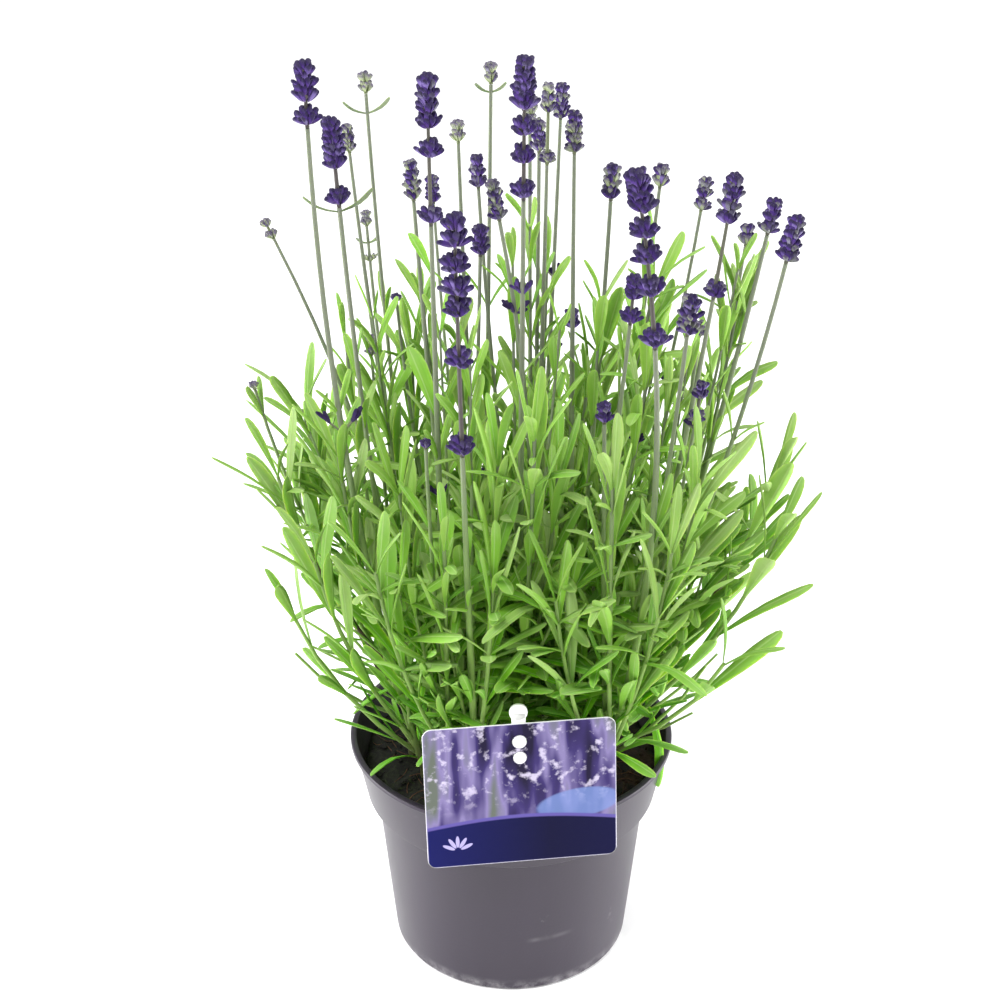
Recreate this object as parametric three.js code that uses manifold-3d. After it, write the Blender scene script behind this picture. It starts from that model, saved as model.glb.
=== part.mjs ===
// A lavender plant in its nursery pot, in millimetres, Z up.
// The origin is the middle of the pot's flat base, and the viewer stands on the -Y side.
import * as THREE from "three";
import { mergeVertices } from "three/addons/utils/BufferGeometryUtils.js";
import Module from "manifold-3d";

const wasm = await Module();
wasm.setup();

// Driving sizes of the pot
const potHeight = 110;
const rimRadius = 75;
const baseRadius = 56;
const wall = 1.6;
const potSides = 32;
const collarFoot = { radius: 68, height: 81 };
const shoulder = { radius: 63.4, height: 79.5 };
const lip = { height: 3, overhang: 1.2, round: 0.6 };
const baseCorner = 1.5;
const drains = { count: 6, radius: 4, circle: 42, sides: 6 };

// Gap between pieces that touch
const fitGap = 0.3;

// Soil: the height of its middle, how far it rises and falls, and a stem's hole
const soilTop = 94;
const soilLump = 1.3;
const stemHole = { radius: 3, depth: 12, sides: 5 };

// Name card, with its angles in degrees, and the peg that carries it by studs through two holes
const card = { width: 82, height: 66, thickness: 0.7, corner: 4, lean: 7, roll: 1, turn: 6 };
const cardMiddle = { across: -4, height: 125.5 };
const studs = [
  { radius: 2.9, up: 24.5 },
  { radius: 2.7, up: 17 },
];
const studHeight = 0.5;
const peg = { width: 6, thickness: 1.6, head: 3.9, headUp: 37.5, bendUp: 10, tip: { y: -57, z: 68 } };

// Leaves: the length of a full one, its width as a share of that, and how far its keel hangs
const leafLength = 45;
const leafShare = 0.17;
const leafKeel = 1;
const shortLeafHalf = 3.2;

// Leaf pairs: their spacing, and in degrees how far a low leaf opens, how much less a top one does,
// how far the opening varies, and how much a leaf arches
const pairSpacing = { stalk: 34, shoot: 18 };
const opening = { stalk: 46, shoot: 52, closing: 24, varies: 14 };
const arching = { least: 10, more: 34 };
const keptLeaves = { share: 2, of: 5 };

// Space that leaves keep: half the crown's width and depth, a leaf's distance from the next stem's
// leaves, and how far apart two stalks of one stem are before their leaves keep apart too
const crownReach = { across: 124, deep: 116, low: 78, flare: 0.6, lean: 0.3 };
const leafMargin = 0.9;
const siblingFork = 7;

// Stems: radius at the foot, at the top of a flower stalk and at a side shoot's tip, and the heights
// at which stalks and shoots leave their stem
const stemRadius = { foot: 2, stalk: 0.95, shoot: 0.85 };
const stalkFork = { first: 118, step: 21 };
const shootFork = { first: 126, step: -9 };
const moreFork = { first: 108, step: 20 };
const stemBow = { leader: 0.3, stalk: 0.45, shoot: 0.5 };

// Bracts below a head: which way they point, how far they open and curve, and half their width
const bractSet = { turn: 0.25, open: 1.3, arch: -0.5, half: 1.1 };

// Details of fused leaves and stems smaller than this are smoothed away
const mergeLimit = 0.03;

// Flower heads: how far the buds of a full head reach, how far they rise, and the space between whorls
const budReach = 6.4;
const budRise = 3.4;
const rachisRadius = 0.95;
const denseStep = 4.6;
const budsAround = { large: 5, small: 4 };

// Each leafy stem: where it stands in the soil, the flower stalks that it carries, its leafy side
// shoots, and how many more shoots it sends where there is space. A flower is [across, depth, height]
// of its tip, then its size, its ripeness, the whorls of its dense top and how far below the tip its
// loose whorls sit. Leafy is the share of its stalk with leaves, bracts are a pair of that length that
// sits so far below the head, and bow and sway bend the stalk out and across. The first flower stands
// on the stem's leader.
const stems = [
  {
    foot: [-40, -18],
    flowers: [
      { tip: [-76, -50, 431], size: 1, ripe: 1, dense: 3, loose: [21.5], bow: 1 },
      { tip: [-70, -22, 403], size: 1, ripe: 1, dense: 4, loose: [32], bracts: 16, below: 1.5 },
    ],
    shoots: [[-71, -40, 268], [-80, -64, 232], [-92, -42, 192]],
    more: 0,
  },
  {
    foot: [-47, 2],
    flowers: [
      { tip: [-102, 4, 355], size: 0.6, ripe: 0.15, dense: 1, loose: [8], bow: 0, sway: 16 },
      { tip: [-108, -14, 291], size: 0.55, ripe: 0.1, dense: 1, loose: [], leafy: 0.92 },
      { tip: [-61, 16, 300], size: 0.55, ripe: 0.2, dense: 1, loose: [8], leafy: 0.9 },
    ],
    shoots: [[-97, -34, 256], [-92, 22, 262], [-88, 2, 222]],
    more: 0,
  },
  {
    foot: [-36, 27],
    flowers: [
      { tip: [-70, 44, 384], size: 0.7, ripe: 0.3, dense: 3, loose: [] },
      { tip: [-63, 62, 402], size: 0.75, ripe: 0.15, dense: 2, loose: [], bracts: 12, below: 8 },
      { tip: [-65, 66, 340], size: 0.6, ripe: 0.2, dense: 2, loose: [], bracts: 6, below: 7 },
    ],
    shoots: [[-84, 44, 236], [-44, 34, 284]],
    more: 1,
  },
  {
    foot: [-28, -31],
    flowers: [
      { tip: [-32, -44, 425], size: 1, ripe: 0.9, dense: 3, loose: [18.5, 29.5, 55] },
      { tip: [-34, -72, 291], size: 0.6, ripe: 0.8, dense: 1, loose: [] },
    ],
    shoots: [[-46, -50, 256], [-54, -84, 238], [-27, -80, 246]],
    more: 0,
  },
  {
    foot: [-19, -5],
    flowers: [
      { tip: [-41, 0, 381], size: 0.75, ripe: 0.45, dense: 4, loose: [] },
      { tip: [-13, 0, 354], size: 0.85, ripe: 0.9, dense: 2, loose: [11] },
      { tip: [-50, 24, 316], size: 0.6, ripe: 0.8, dense: 1, loose: [] },
    ],
    shoots: [[-54, 8, 262]],
    more: 1,
  },
  {
    foot: [-15, -46],
    flowers: [
      { tip: [-21, -104, 390], size: 1.1, ripe: 1, dense: 1, loose: [10, 19.5, 28.5, 37, 58, 96] },
    ],
    shoots: [[-6, -66, 276], [-8, -77, 226]],
    more: 0,
  },
  {
    foot: [-12, 32],
    flowers: [
      { tip: [-23, 40, 387], size: 0.8, ripe: 0.2, dense: 2, loose: [] },
      { tip: [-36, 84, 351], size: 0.75, ripe: 0.8, dense: 3, loose: [] },
      { tip: [-9, 62, 406], size: 0.75, ripe: 0.2, dense: 2, loose: [], bracts: 8, below: 3 },
    ],
    shoots: [],
    more: 3,
  },
  {
    foot: [3, -20],
    flowers: [
      { tip: [4, -30, 428], size: 1.05, ripe: 1, dense: 4, loose: [27.5, 38.5, 52] },
      { tip: [-9, -15, 377], size: 0.75, ripe: 0.55, dense: 4, loose: [], sway: 12 },
    ],
    shoots: [[18, -56, 268], [8, -76, 292]],
    more: 0,
  },
  {
    foot: [9, 8],
    flowers: [
      { tip: [14, 2, 411], size: 0.7, ripe: 0.3, dense: 3, loose: [31] },
      { tip: [-15, 22, 377], size: 0.8, ripe: 0.75, dense: 2, loose: [12] },
      { tip: [11, 26, 390], size: 0.75, ripe: 0.6, dense: 3, loose: [] },
    ],
    shoots: [],
    more: 2,
  },
  {
    foot: [9, 38],
    flowers: [
      { tip: [21, 54, 399], size: 0.75, ripe: 0.7, dense: 3, loose: [13.5] },
      { tip: [8, 80, 388], size: 0.8, ripe: 0.3, dense: 3, loose: [] },
      { tip: [2, 58, 299], size: 0.8, ripe: 0.9, dense: 2, loose: [] },
    ],
    shoots: [],
    more: 3,
  },
  {
    foot: [36, -40],
    flowers: [
      { tip: [41, -98, 404], size: 1.1, ripe: 1, dense: 2, loose: [14, 23.5, 33.5, 47, 68], sway: 16 },
      { tip: [35, -66, 304], size: 0.75, ripe: 0.9, dense: 2, loose: [] },
    ],
    shoots: [[38, -82, 274], [62, -82, 246], [17, -78, 222]],
    more: 0,
  },
  {
    foot: [27, -12],
    flowers: [
      { tip: [24, -6, 402], size: 0.8, ripe: 0.5, dense: 3, loose: [15] },
      { tip: [47, -42, 347], size: 0.9, ripe: 1, dense: 2, loose: [18.5] },
      { tip: [41, 16, 375], size: 0.9, ripe: 0.6, dense: 2, loose: [13] },
    ],
    shoots: [[55, -26, 300]],
    more: 1,
  },
  {
    foot: [31, 22],
    flowers: [
      { tip: [64, 44, 367], size: 0.85, ripe: 0.6, dense: 2, loose: [] },
      { tip: [28, 78, 290], size: 0.85, ripe: 0.9, dense: 2, loose: [] },
      { tip: [84, 52, 359], size: 0.8, ripe: 0.5, dense: 2, loose: [13] },
    ],
    shoots: [[84, 40, 252]],
    more: 2,
  },
  {
    foot: [43, -19],
    flowers: [
      { tip: [86, -24, 382], size: 0.95, ripe: 0.8, dense: 3, loose: [18.5, 49] },
      { tip: [67, -62, 346], size: 1, ripe: 0.6, dense: 2, loose: [14] },
      { tip: [109, -36, 369], size: 0.9, ripe: 0.8, dense: 3, loose: [17] },
      { tip: [74, -52, 307], size: 0.7, ripe: 0.8, dense: 2, loose: [17], leafy: 0.8 },
    ],
    shoots: [[72, -72, 268], [108, -50, 236], [88, -64, 184]],
    more: 0,
  },
  {
    foot: [49, 6],
    flowers: [
      { tip: [107, 6, 363], size: 0.85, ripe: 0.8, dense: 2, loose: [13] },
      { tip: [79, 4, 311], size: 0.6, ripe: 0.4, dense: 2, loose: [] },
      { tip: [101, 34, 344], size: 0.8, ripe: 0.6, dense: 2, loose: [] },
    ],
    shoots: [[96, 18, 314], [112, -18, 250], [106, 4, 206]],
    more: 0,
  },
];

const colours = {
  pot: 0x77737a,
  soil: 0x2b1e16,
  card: 0x2d2f78,
  peg: 0xf1f1ec,
  leaf: 0x6a9a3c,
  violet: 0x3c2478,
  bud: 0x8d9480,
};

function finish(hex, roughness) {
  return new THREE.MeshStandardMaterial({ color: hex, roughness, metalness: 0 });
}

const materials = {
  pot: finish(colours.pot, 0.42),
  soil: finish(colours.soil, 0.95),
  card: finish(colours.card, 0.3),
  peg: finish(colours.peg, 0.35),
  leaf: finish(colours.leaf, 0.6),
  violet: finish(colours.violet, 0.7),
  bud: finish(colours.bud, 0.8),
};

// Repeatable random numbers from 0 to 1
function draws(seed) {
  let state = (seed * 7919 + 104729) % 2147483647;
  return () => {
    state = (state * 16807) % 2147483647;
    return state / 2147483647;
  };
}

const degrees = (angle) => (angle * Math.PI) / 180;
const vec = (x, y, z) => new THREE.Vector3(x, y, z);

// Solids and meshes

function solidOf(geometry) {
  const bare = geometry.clone();
  bare.deleteAttribute("normal");
  bare.deleteAttribute("uv");
  const merged = mergeVertices(bare, 1e-4);
  return new wasm.Manifold(
    new wasm.Mesh({
      numProp: 3,
      vertProperties: merged.attributes.position.array,
      triVerts: new Uint32Array(merged.index.array),
    }),
  );
}

function geometryOf(solid) {
  const mesh = solid.getMesh();
  const geometry = new THREE.BufferGeometry();
  geometry.setAttribute("position", new THREE.BufferAttribute(mesh.vertProperties, 3));
  geometry.setIndex(new THREE.BufferAttribute(mesh.triVerts, 1));
  geometry.computeVertexNormals();
  return geometry;
}

function part(name, geometry, material) {
  const mesh = new THREE.Mesh(geometry, material);
  mesh.name = name;
  return mesh;
}

// Moves every vertex of a geometry to where place(vertex) says
function reshape(geometry, place) {
  const position = geometry.attributes.position;
  const vertex = vec(0, 0, 0);
  for (let i = 0; i < position.count; i++) {
    const moved = place(vertex.fromBufferAttribute(position, i));
    position.setXYZ(i, moved.x, moved.y, moved.z);
  }
  return geometry;
}

// A lathe turned round Z from [radius, height] pairs
function turned(outline, sides) {
  const points = outline.map(([radius, height]) => new THREE.Vector2(radius, height));
  return new THREE.LatheGeometry(points, sides).rotateX(Math.PI / 2);
}

// Pot

const collarTop = rimRadius - lip.overhang;

function potOutline() {
  const underLip = potHeight - lip.height;
  return [
    [0, 0],
    [baseRadius - baseCorner, 0],
    [baseRadius, baseCorner],
    [shoulder.radius, shoulder.height],
    [collarFoot.radius, collarFoot.height],
    [collarTop - lip.round, underLip],
    [rimRadius, underLip + lip.round],
    [rimRadius, potHeight - lip.round],
    [rimRadius - lip.round, potHeight],
    [collarTop - wall, potHeight],
    ...cavityOutline(0).reverse(),
  ];
}

// Radius of the pot's inner wall at a height inside its collar
function collarCavity(height) {
  const share = (height - collarFoot.height - wall) / (potHeight - collarFoot.height - wall);
  return collarFoot.radius - wall + (collarTop - collarFoot.radius) * share;
}

// The pot's inner wall from the bottom up, drawn in by a gap
function cavityOutline(gap) {
  const inset = wall + gap;
  return [
    [0, inset],
    [baseRadius - inset - 0.5, inset],
    [shoulder.radius - inset, shoulder.height + wall + gap],
    [collarFoot.radius - inset, collarFoot.height + wall + gap],
  ];
}

function pot() {
  let body = solidOf(turned(potOutline(), potSides));
  for (let i = 0; i < drains.count; i++) {
    const angle = (2 * Math.PI * (i + 0.5)) / drains.count;
    const hole = new THREE.CylinderGeometry(drains.radius, drains.radius, 4 * wall, drains.sides)
      .rotateX(Math.PI / 2)
      .translate(drains.circle * Math.cos(angle), drains.circle * Math.sin(angle), 0);
    body = body.subtract(solidOf(hole));
  }
  return part("pot", geometryOf(body), materials.pot);
}

// Soil, which fills the pot and has a plain hole for each stem and for the peg

function soilRelief(x, y) {
  return soilLump * (Math.sin(x * 0.21 + 1) * Math.cos(y * 0.17) + 0.6 * Math.sin(x * 0.37 - y * 0.31));
}

function soil(pegSolid) {
  const edge = collarCavity(soilTop) - fitGap;
  const outline = [
    ...cavityOutline(fitGap),
    [edge, soilTop],
    [edge * 0.62, soilTop],
    [0, soilTop],
  ];
  const lumpy = reshape(turned(outline, potSides), (v) =>
    v.z < soilTop - 1 ? v : vec(v.x, v.y, soilTop + soilRelief(v.x, v.y)),
  );
  let body = solidOf(lumpy);
  for (const stem of stems) {
    const length = 2 * stemHole.depth;
    const hole = new THREE.CylinderGeometry(stemHole.radius, stemHole.radius, length, stemHole.sides)
      .rotateX(Math.PI / 2)
      .translate(stem.foot[0], stem.foot[1], soilTop);
    body = body.subtract(solidOf(hole));
  }
  return part("soil", geometryOf(body.subtract(pegSolid)), materials.soil);
}

// Name card, leaning on the rim, and its peg

// The card and its peg are drawn facing -Y and then turned round the pot's axis
const cardTurn = new THREE.Matrix4().makeRotationZ(degrees(card.turn));

// Local X runs across the card, local Y up it, and local Z out of its printed face
function cardFrame() {
  const frame = new THREE.Matrix4().makeRotationX(Math.PI / 2 - degrees(card.lean));
  frame.multiply(new THREE.Matrix4().makeRotationZ(degrees(card.roll)));
  const backAtRim = -(rimRadius + fitGap);
  const y = backAtRim + (cardMiddle.height - potHeight) * Math.tan(degrees(card.lean));
  return frame.setPosition(cardMiddle.across, y, cardMiddle.height);
}

// True in the space that the card and its peg need for themselves
function isAtCard(point, margin) {
  const { x, y, z } = point.clone().applyMatrix4(cardTurn.clone().invert());
  const aside = Math.abs(x - cardMiddle.across) - margin;
  const isByPeg = y < -50 && aside < peg.width;
  const isByCard = y < -64 && aside < card.width / 2 + 2;
  return z < cardMiddle.height + card.height / 2 + 8 + margin && (isByPeg || isByCard);
}

function roundedCard() {
  const { width, height, corner } = card;
  const [x, y] = [width / 2, height / 2];
  const outline = new THREE.Shape();
  outline.moveTo(-x + corner, -y);
  outline.lineTo(x - corner, -y);
  outline.absarc(x - corner, -y + corner, corner, -Math.PI / 2, 0, false);
  outline.absarc(x - corner, y - corner, corner, 0, Math.PI / 2, false);
  outline.absarc(-x + corner, y - corner, corner, Math.PI / 2, Math.PI, false);
  outline.absarc(-x + corner, -y + corner, corner, Math.PI, 1.5 * Math.PI, false);
  for (const stud of studs) {
    const hole = new THREE.Path();
    hole.absarc(0, stud.up, stud.radius + fitGap, 0, 2 * Math.PI, true);
    outline.holes.push(hole);
  }
  return outline;
}

function nameCard() {
  const plate = new THREE.ExtrudeGeometry(roundedCard(), {
    depth: card.thickness,
    bevelEnabled: false,
    curveSegments: 4,
  });
  return part("name_card", plate.applyMatrix4(cardFrame()).applyMatrix4(cardTurn), materials.card);
}

// The peg's strip, seen from the side: along the card's back, then down into the soil
function pegStrip(grown) {
  const back = -fitGap + grown;
  const frame = cardFrame();
  const top = vec(0, peg.headUp, back).applyMatrix4(frame);
  const bend = vec(0, peg.bendUp, back).applyMatrix4(frame);
  const tip = vec(cardMiddle.across, peg.tip.y - grown, peg.tip.z - grown);
  const depth = peg.thickness + 2 * grown;
  const side = new THREE.Shape();
  side.moveTo(top.y, top.z);
  side.lineTo(bend.y, bend.z);
  side.lineTo(tip.y, tip.z);
  side.lineTo(tip.y + depth, tip.z + 1);
  side.lineTo(bend.y + depth, bend.z);
  side.lineTo(top.y + depth, top.z);
  const width = peg.width + 2 * grown;
  const strip = new THREE.ExtrudeGeometry(side, { depth: width, bevelEnabled: false });
  // The outline is drawn in Y and Z, so its axes are turned to run that way
  const turn = new THREE.Matrix4().makeBasis(vec(0, 1, 0), vec(0, 0, 1), vec(1, 0, 0));
  return strip.applyMatrix4(turn).translate(cardMiddle.across - width / 2, 0, 0).applyMatrix4(cardTurn);
}

function labelPeg() {
  let body = solidOf(pegStrip(0));
  const frame = cardFrame();
  const overlap = 0.4;
  const discs = [{ radius: peg.head, up: peg.headUp, from: -peg.thickness - fitGap, to: -fitGap }];
  for (const stud of studs) {
    discs.push({ ...stud, from: -fitGap - overlap, to: card.thickness + studHeight });
  }
  for (const { radius, up, from, to } of discs) {
    const disc = new THREE.CylinderGeometry(radius, radius, to - from, 12)
      .rotateX(Math.PI / 2)
      .translate(0, up, (from + to) / 2)
      .applyMatrix4(frame)
      .applyMatrix4(cardTurn);
    body = body.add(solidOf(disc));
  }
  return part("label_peg", geometryOf(body), materials.peg);
}

// Where stems run. An axis is known by height: it leaves its start, bows outwards and ends at its tip.

function pointAt(axis, z) {
  const u = Math.max(0, (z - axis.start.z) / (axis.end.z - axis.start.z));
  const share = u < 1 ? u + axis.bow * u * (1 - u) : 1 + (u - 1) * (1 - axis.bow);
  const across = axis.sway * 4 * (u < 1 ? u * (1 - u) : 1 - u);
  return vec(
    axis.start.x + (axis.end.x - axis.start.x) * share + across,
    axis.start.y + (axis.end.y - axis.start.y) * share,
    z,
  );
}

function directionAt(axis, z) {
  return pointAt(axis, z + 2).sub(pointAt(axis, z - 2)).normalize();
}

// How far below its tip a flower's head ends
function headDepth(flower) {
  return Math.max(...whorlDepths(flower)) + (budRise + 1) * flower.size;
}

function whorlDepths(flower) {
  const scale = Math.min(1, flower.size + 0.1);
  const dense = Array.from({ length: flower.dense }, (_, i) => (4 + denseStep * i) * scale);
  return [...dense, ...flower.loose];
}

function flowerAxes() {
  const axes = [];
  stems.forEach((stem, s) => {
    const foot = vec(stem.foot[0], stem.foot[1], soilTop + 4);
    stem.flowers.forEach((flower, f) => {
      const leader = axes.find((axis) => axis.stem === s);
      const fork = leader ? stalkFork.first + stalkFork.step * (f - 1) + (s % 3) * 5 : foot.z;
      axes.push({
        stem: s,
        start: leader ? pointAt(leader, fork) : foot,
        end: vec(...flower.tip),
        bow: flower.bow ?? (leader ? stemBow.stalk : stemBow.leader),
        sway: flower.sway ?? 0,
        flower,
        leader: !leader,
        leafTop: fork + (flower.tip[2] - headDepth(flower) - fork) * (flower.leafy ?? 0.62),
      });
    });
  });
  return axes;
}

function meetsCard(axis) {
  return evenHeights(axis.start.z + 14, 180, 6).some((z) => isAtCard(pointAt(axis, z), 4));
}

// Nearest that two axes come to each other at heights that both reach
function clearance(a, b) {
  const low = Math.max(a.start.z, b.start.z) + 12;
  const high = Math.min(a.end.z, b.end.z);
  let nearest = Infinity;
  for (let z = low; z <= high; z += 8) {
    nearest = Math.min(nearest, pointAt(a, z).distanceTo(pointAt(b, z)));
  }
  return nearest;
}

function shootAxis(stem, start, end) {
  return { stem, start, end, bow: stemBow.shoot, sway: 0, flower: null, leader: false, leafTop: end.z - 1 };
}

// Adds the leafy shoots: first those with a place of their own, then those that take the widest space
function withShoots(axes) {
  const reaches = [28, 42, 56];
  const directions = 12;
  stems.forEach((stem, s) => {
    const leader = axes.find((axis) => axis.stem === s);
    stem.shoots.forEach((tip, i) => {
      const fork = shootFork.first + shootFork.step * i + (s % 3) * 4;
      axes.push(shootAxis(s, pointAt(leader, fork), vec(...tip)));
    });
  });
  stems.forEach((stem, s) => {
    const leader = axes.find((axis) => axis.stem === s);
    const random = draws(900 + s);
    for (let i = 0; i < stem.more; i++) {
      const start = pointAt(leader, moreFork.first + moreFork.step * i + 6 * random());
      const rise = 90 + 25 * i + 40 * random();
      const scored = [];
      for (let k = 0; k < directions * reaches.length; k++) {
        const angle = (2 * Math.PI * k) / directions;
        const reach = reaches[Math.floor(k / directions)];
        const end = vec(reach * Math.cos(angle), reach * Math.sin(angle), rise).add(start);
        const shoot = shootAxis(s, start, end);
        const room = Math.min(...axes.map((axis) => clearance(axis, shoot)));
        const wide = Math.max(0, Math.hypot(end.x, end.y) - 100);
        scored.push({ shoot, score: Math.min(room, 24) - wide - (meetsCard(shoot) ? 50 : 0) });
      }
      axes.push(scored.reduce((best, each) => (each.score > best.score ? each : best)).shoot);
    }
  });
  return axes;
}

const axes = withShoots(flowerAxes());
axes.forEach((axis, i) => {
  const outward = Math.atan2(axis.end.y - axis.start.y, axis.end.x - axis.start.x);
  axis.turn = outward + 0.6 * (draws(i + 1)() - 0.5);
  const steps = axis.leader || axis.sway ? 5 : 3;
  axis.rings = evenHeights(axis.start.z, axis.flower ? headBase(axis) : axis.end.z, steps);
});

// Where a leaf roots: on the straight runs between an axis's rings
function rootAt(axis, z) {
  const upper = Math.max(1, axis.rings.findIndex((height) => height >= z));
  const [low, high] = axis.rings.slice(upper - 1, upper + 1);
  return pointAt(axis, low).lerp(pointAt(axis, high), (z - low) / (high - low));
}

// Leaves sit in crossed pairs, close together at a shoot's tip, smaller and more upright there
function leafPlaces(axis) {
  const random = draws(200 + axes.indexOf(axis));
  const low = axis.leader ? soilTop + 12 : axis.start.z + 10;
  const length = axis.leafTop - low;
  const pairs = Math.max(3, Math.round(length / (axis.flower ? pairSpacing.stalk : pairSpacing.shoot)));
  const widest = axis.flower ? opening.stalk : opening.shoot;
  const places = [];
  for (let k = 0; k < pairs; k++) {
    const v = k / (pairs - 1);
    const up = axis.flower ? v : 1 - Math.pow(1 - v, 1.35);
    for (let side = 0; side < 2; side++) {
      const size = axis.flower ? 1 - 0.55 * v * v : 0.8 + 0.9 * v * (1 - v) - 0.1 * v * v;
      places.push({
        z: low + length * up,
        azimuth: axis.turn + (k * Math.PI) / 2 + side * Math.PI + (random() - 0.5) * 0.24,
        length: leafLength * size * (0.85 + 0.3 * random()),
        width: leafShare * (0.88 + 0.3 * random()),
        open: degrees(widest - opening.closing * v + opening.varies * (random() - 0.5)),
        arch: degrees(arching.least + arching.more * random() * (1 - 0.6 * v)),
        roll: (random() - 0.5) * 0.7,
      });
    }
  }
  return places;
}

// The middle line of a leaf, from its root in the stem to its tip
function leafLine(axis, place, open, length) {
  const root = rootAt(axis, place.z);
  const up = directionAt(axis, place.z);
  const flat = vec(Math.cos(place.azimuth), Math.sin(place.azimuth), 0);
  const out = flat.addScaledVector(up, -flat.dot(up)).normalize();
  const line = [root];
  let at = root;
  for (const [share, bent] of [[0.28, 0], [0.44, 0.45], [0.28, 1]]) {
    const angle = open + place.arch * bent * (open / place.open);
    const step = up.clone().multiplyScalar(Math.cos(angle)).addScaledVector(out, Math.sin(angle));
    at = at.clone().addScaledVector(step, length * share);
    line.push(at);
  }
  const across = up.clone().cross(out).normalize();
  return { line, across: across.applyAxisAngle(out, place.roll) };
}

// True where a leaf's point keeps to its own axis's space and off the pot, card, soil and flowers
function isClear(point, own, margin) {
  const radius = Math.hypot(point.x, point.y);
  const low = soilTop + 3 + margin;
  if (point.z < low || (radius > collarFoot.radius - 8 && point.z < potHeight + 2 + margin)) return false;
  if (Math.abs(point.x) > crownReach.across || Math.abs(point.y) > crownReach.deep) return false;
  const flare = crownReach.flare + (crownReach.lean * point.x) / radius;
  if (radius > crownReach.low + flare * (point.z - potHeight)) return false;
  if (isAtCard(point, margin)) return false;
  const middle = pointAt(own, point.z);
  const home = middle.distanceTo(point);
  return axes.every((axis) => {
    const above = axis.flower ? 0 : 34;
    if (axis === own || point.z < axis.start.z - 4 || point.z > axis.end.z + above + 6) return true;
    const centre = pointAt(axis, point.z);
    const away = centre.distanceTo(point);
    if (axis.flower && point.z > axis.end.z - headDepth(axis.flower) - 3) {
      if (away < budReach * axis.flower.size + margin + 3) return false;
    }
    const isSibling = axis.stem === own.stem;
    return (isSibling && middle.distanceTo(centre) < siblingFork) || home + (isSibling ? 0 : margin) < away;
  });
}

// A leaf that would cross a neighbour is bent up towards its stem, and then shortened
function clearLeaf(axis, place) {
  for (const short of [1, 0.82, 0.66, 0.5]) {
    for (const bend of [1, 0.85, 0.7, 0.55, 0.4, 0.25]) {
      const length = place.length * short;
      const leaf = leafLine(axis, place, place.open * bend, length);
      const half = (length * place.width) / 2;
      const samples = [];
      for (let i = 1; i < 4; i++) {
        const middle = leaf.line[i - 1].clone().lerp(leaf.line[i], 0.5);
        samples.push([leaf.line[i], i === 3 ? 0 : half], [middle, half * 0.8]);
      }
      const clear = samples.every(([point, wide]) =>
        [-1, 0, 1].every((side) =>
          isClear(point.clone().addScaledVector(leaf.across, side * wide), axis, leafMargin),
        ),
      );
      if (clear) return { ...leaf, half };
    }
  }
  return null;
}

// A blade with a flat upper face and a keel below: a small sphere drawn out along the leaf's line.
// A long blade bends at two places and a short one at one.
function leafBlade(leaf) {
  const { line, across, half } = leaf;
  const isLong = half > shortLeafHalf;
  const stations = isLong ? line : [line[0], line[1].clone().lerp(line[2], 0.7), line[3]];
  const widths = isLong ? [0, 0.6, 1, 0] : [0, 1, 0];
  const last = stations.length - 1;
  const blade = new THREE.SphereGeometry(1, 3, last);
  const upper = line[3].clone().sub(line[0]).cross(across).normalize();
  return reshape(blade, (v) => {
    const station = Math.round((Math.acos(Math.min(1, Math.max(-1, v.y))) / Math.PI) * last);
    const corner = Math.round(((Math.atan2(v.z, -v.x) + 2 * Math.PI) % (2 * Math.PI)) / degrees(120)) % 3;
    const at = stations[station].clone();
    if (station === 0 || station === last) return at;
    if (corner === 0) return at.addScaledVector(upper, -leafKeel);
    return at.addScaledVector(across, (corner === 1 ? -1 : 1) * half * widths[station]);
  });
}

// A square stem through its ring heights, thinner towards its top, with a face towards each leaf
function stemTube(axis, heights, thick, thin) {
  const rings = heights.length - 1;
  const tube = new THREE.CylinderGeometry(1, 1, 1, 4, rings);
  return reshape(tube, (v) => {
    const ring = Math.round((v.y + 0.5) * rings);
    const radius = Math.hypot(v.x, v.z) > 0.5 ? thick + ((thin - thick) * ring) / rings : 0;
    const angle = Math.atan2(v.x, v.z) + axis.turn + Math.PI / 4;
    return vec(radius * Math.cos(angle), radius * Math.sin(angle), 0).add(pointAt(axis, heights[ring]));
  });
}

function evenHeights(low, high, steps) {
  return Array.from({ length: steps + 1 }, (_, i) => low + ((high - low) * i) / steps);
}

function headBase(axis) {
  return axis.end.z - headDepth(axis.flower) * directionAt(axis, axis.end.z).z;
}

function leafyStem(index) {
  const own = axes.filter((axis) => axis.stem === index);
  const pieces = [];
  for (const axis of own) {
    const top = axis.rings.at(-1);
    const heights = axis.leader ? [soilTop - stemHole.depth + 1, ...axis.rings] : axis.rings;
    const thick = axis.leader ? stemRadius.foot : stemRadius.stalk + 0.3;
    pieces.push(solidOf(stemTube(axis, heights, thick, axis.flower ? stemRadius.stalk : stemRadius.shoot)));
    leafPlaces(axis).forEach((place, i) => {
      if ((i * keptLeaves.share) % keptLeaves.of >= keptLeaves.share) return;
      const leaf = clearLeaf(axis, place);
      if (leaf) pieces.push(solidOf(leafBlade(leaf)));
    });
    if (axis.flower && axis.flower.bracts) {
      for (let side = 0; side < 2; side++) {
        const azimuth = bractSet.turn + side * Math.PI;
        const { open, arch } = bractSet;
        const place = { z: top - axis.flower.below, azimuth, open, arch, roll: 0 };
        const bract = leafLine(axis, place, place.open, axis.flower.bracts);
        pieces.push(solidOf(leafBlade({ ...bract, half: bractSet.half })));
      }
    }
  }
  const fused = wasm.Manifold.union(pieces).asOriginal().simplify(mergeLimit);
  return part(`leafy_stem_${String(index + 1).padStart(2, "0")}`, geometryOf(fused), materials.leaf);
}

// Flower heads

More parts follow.
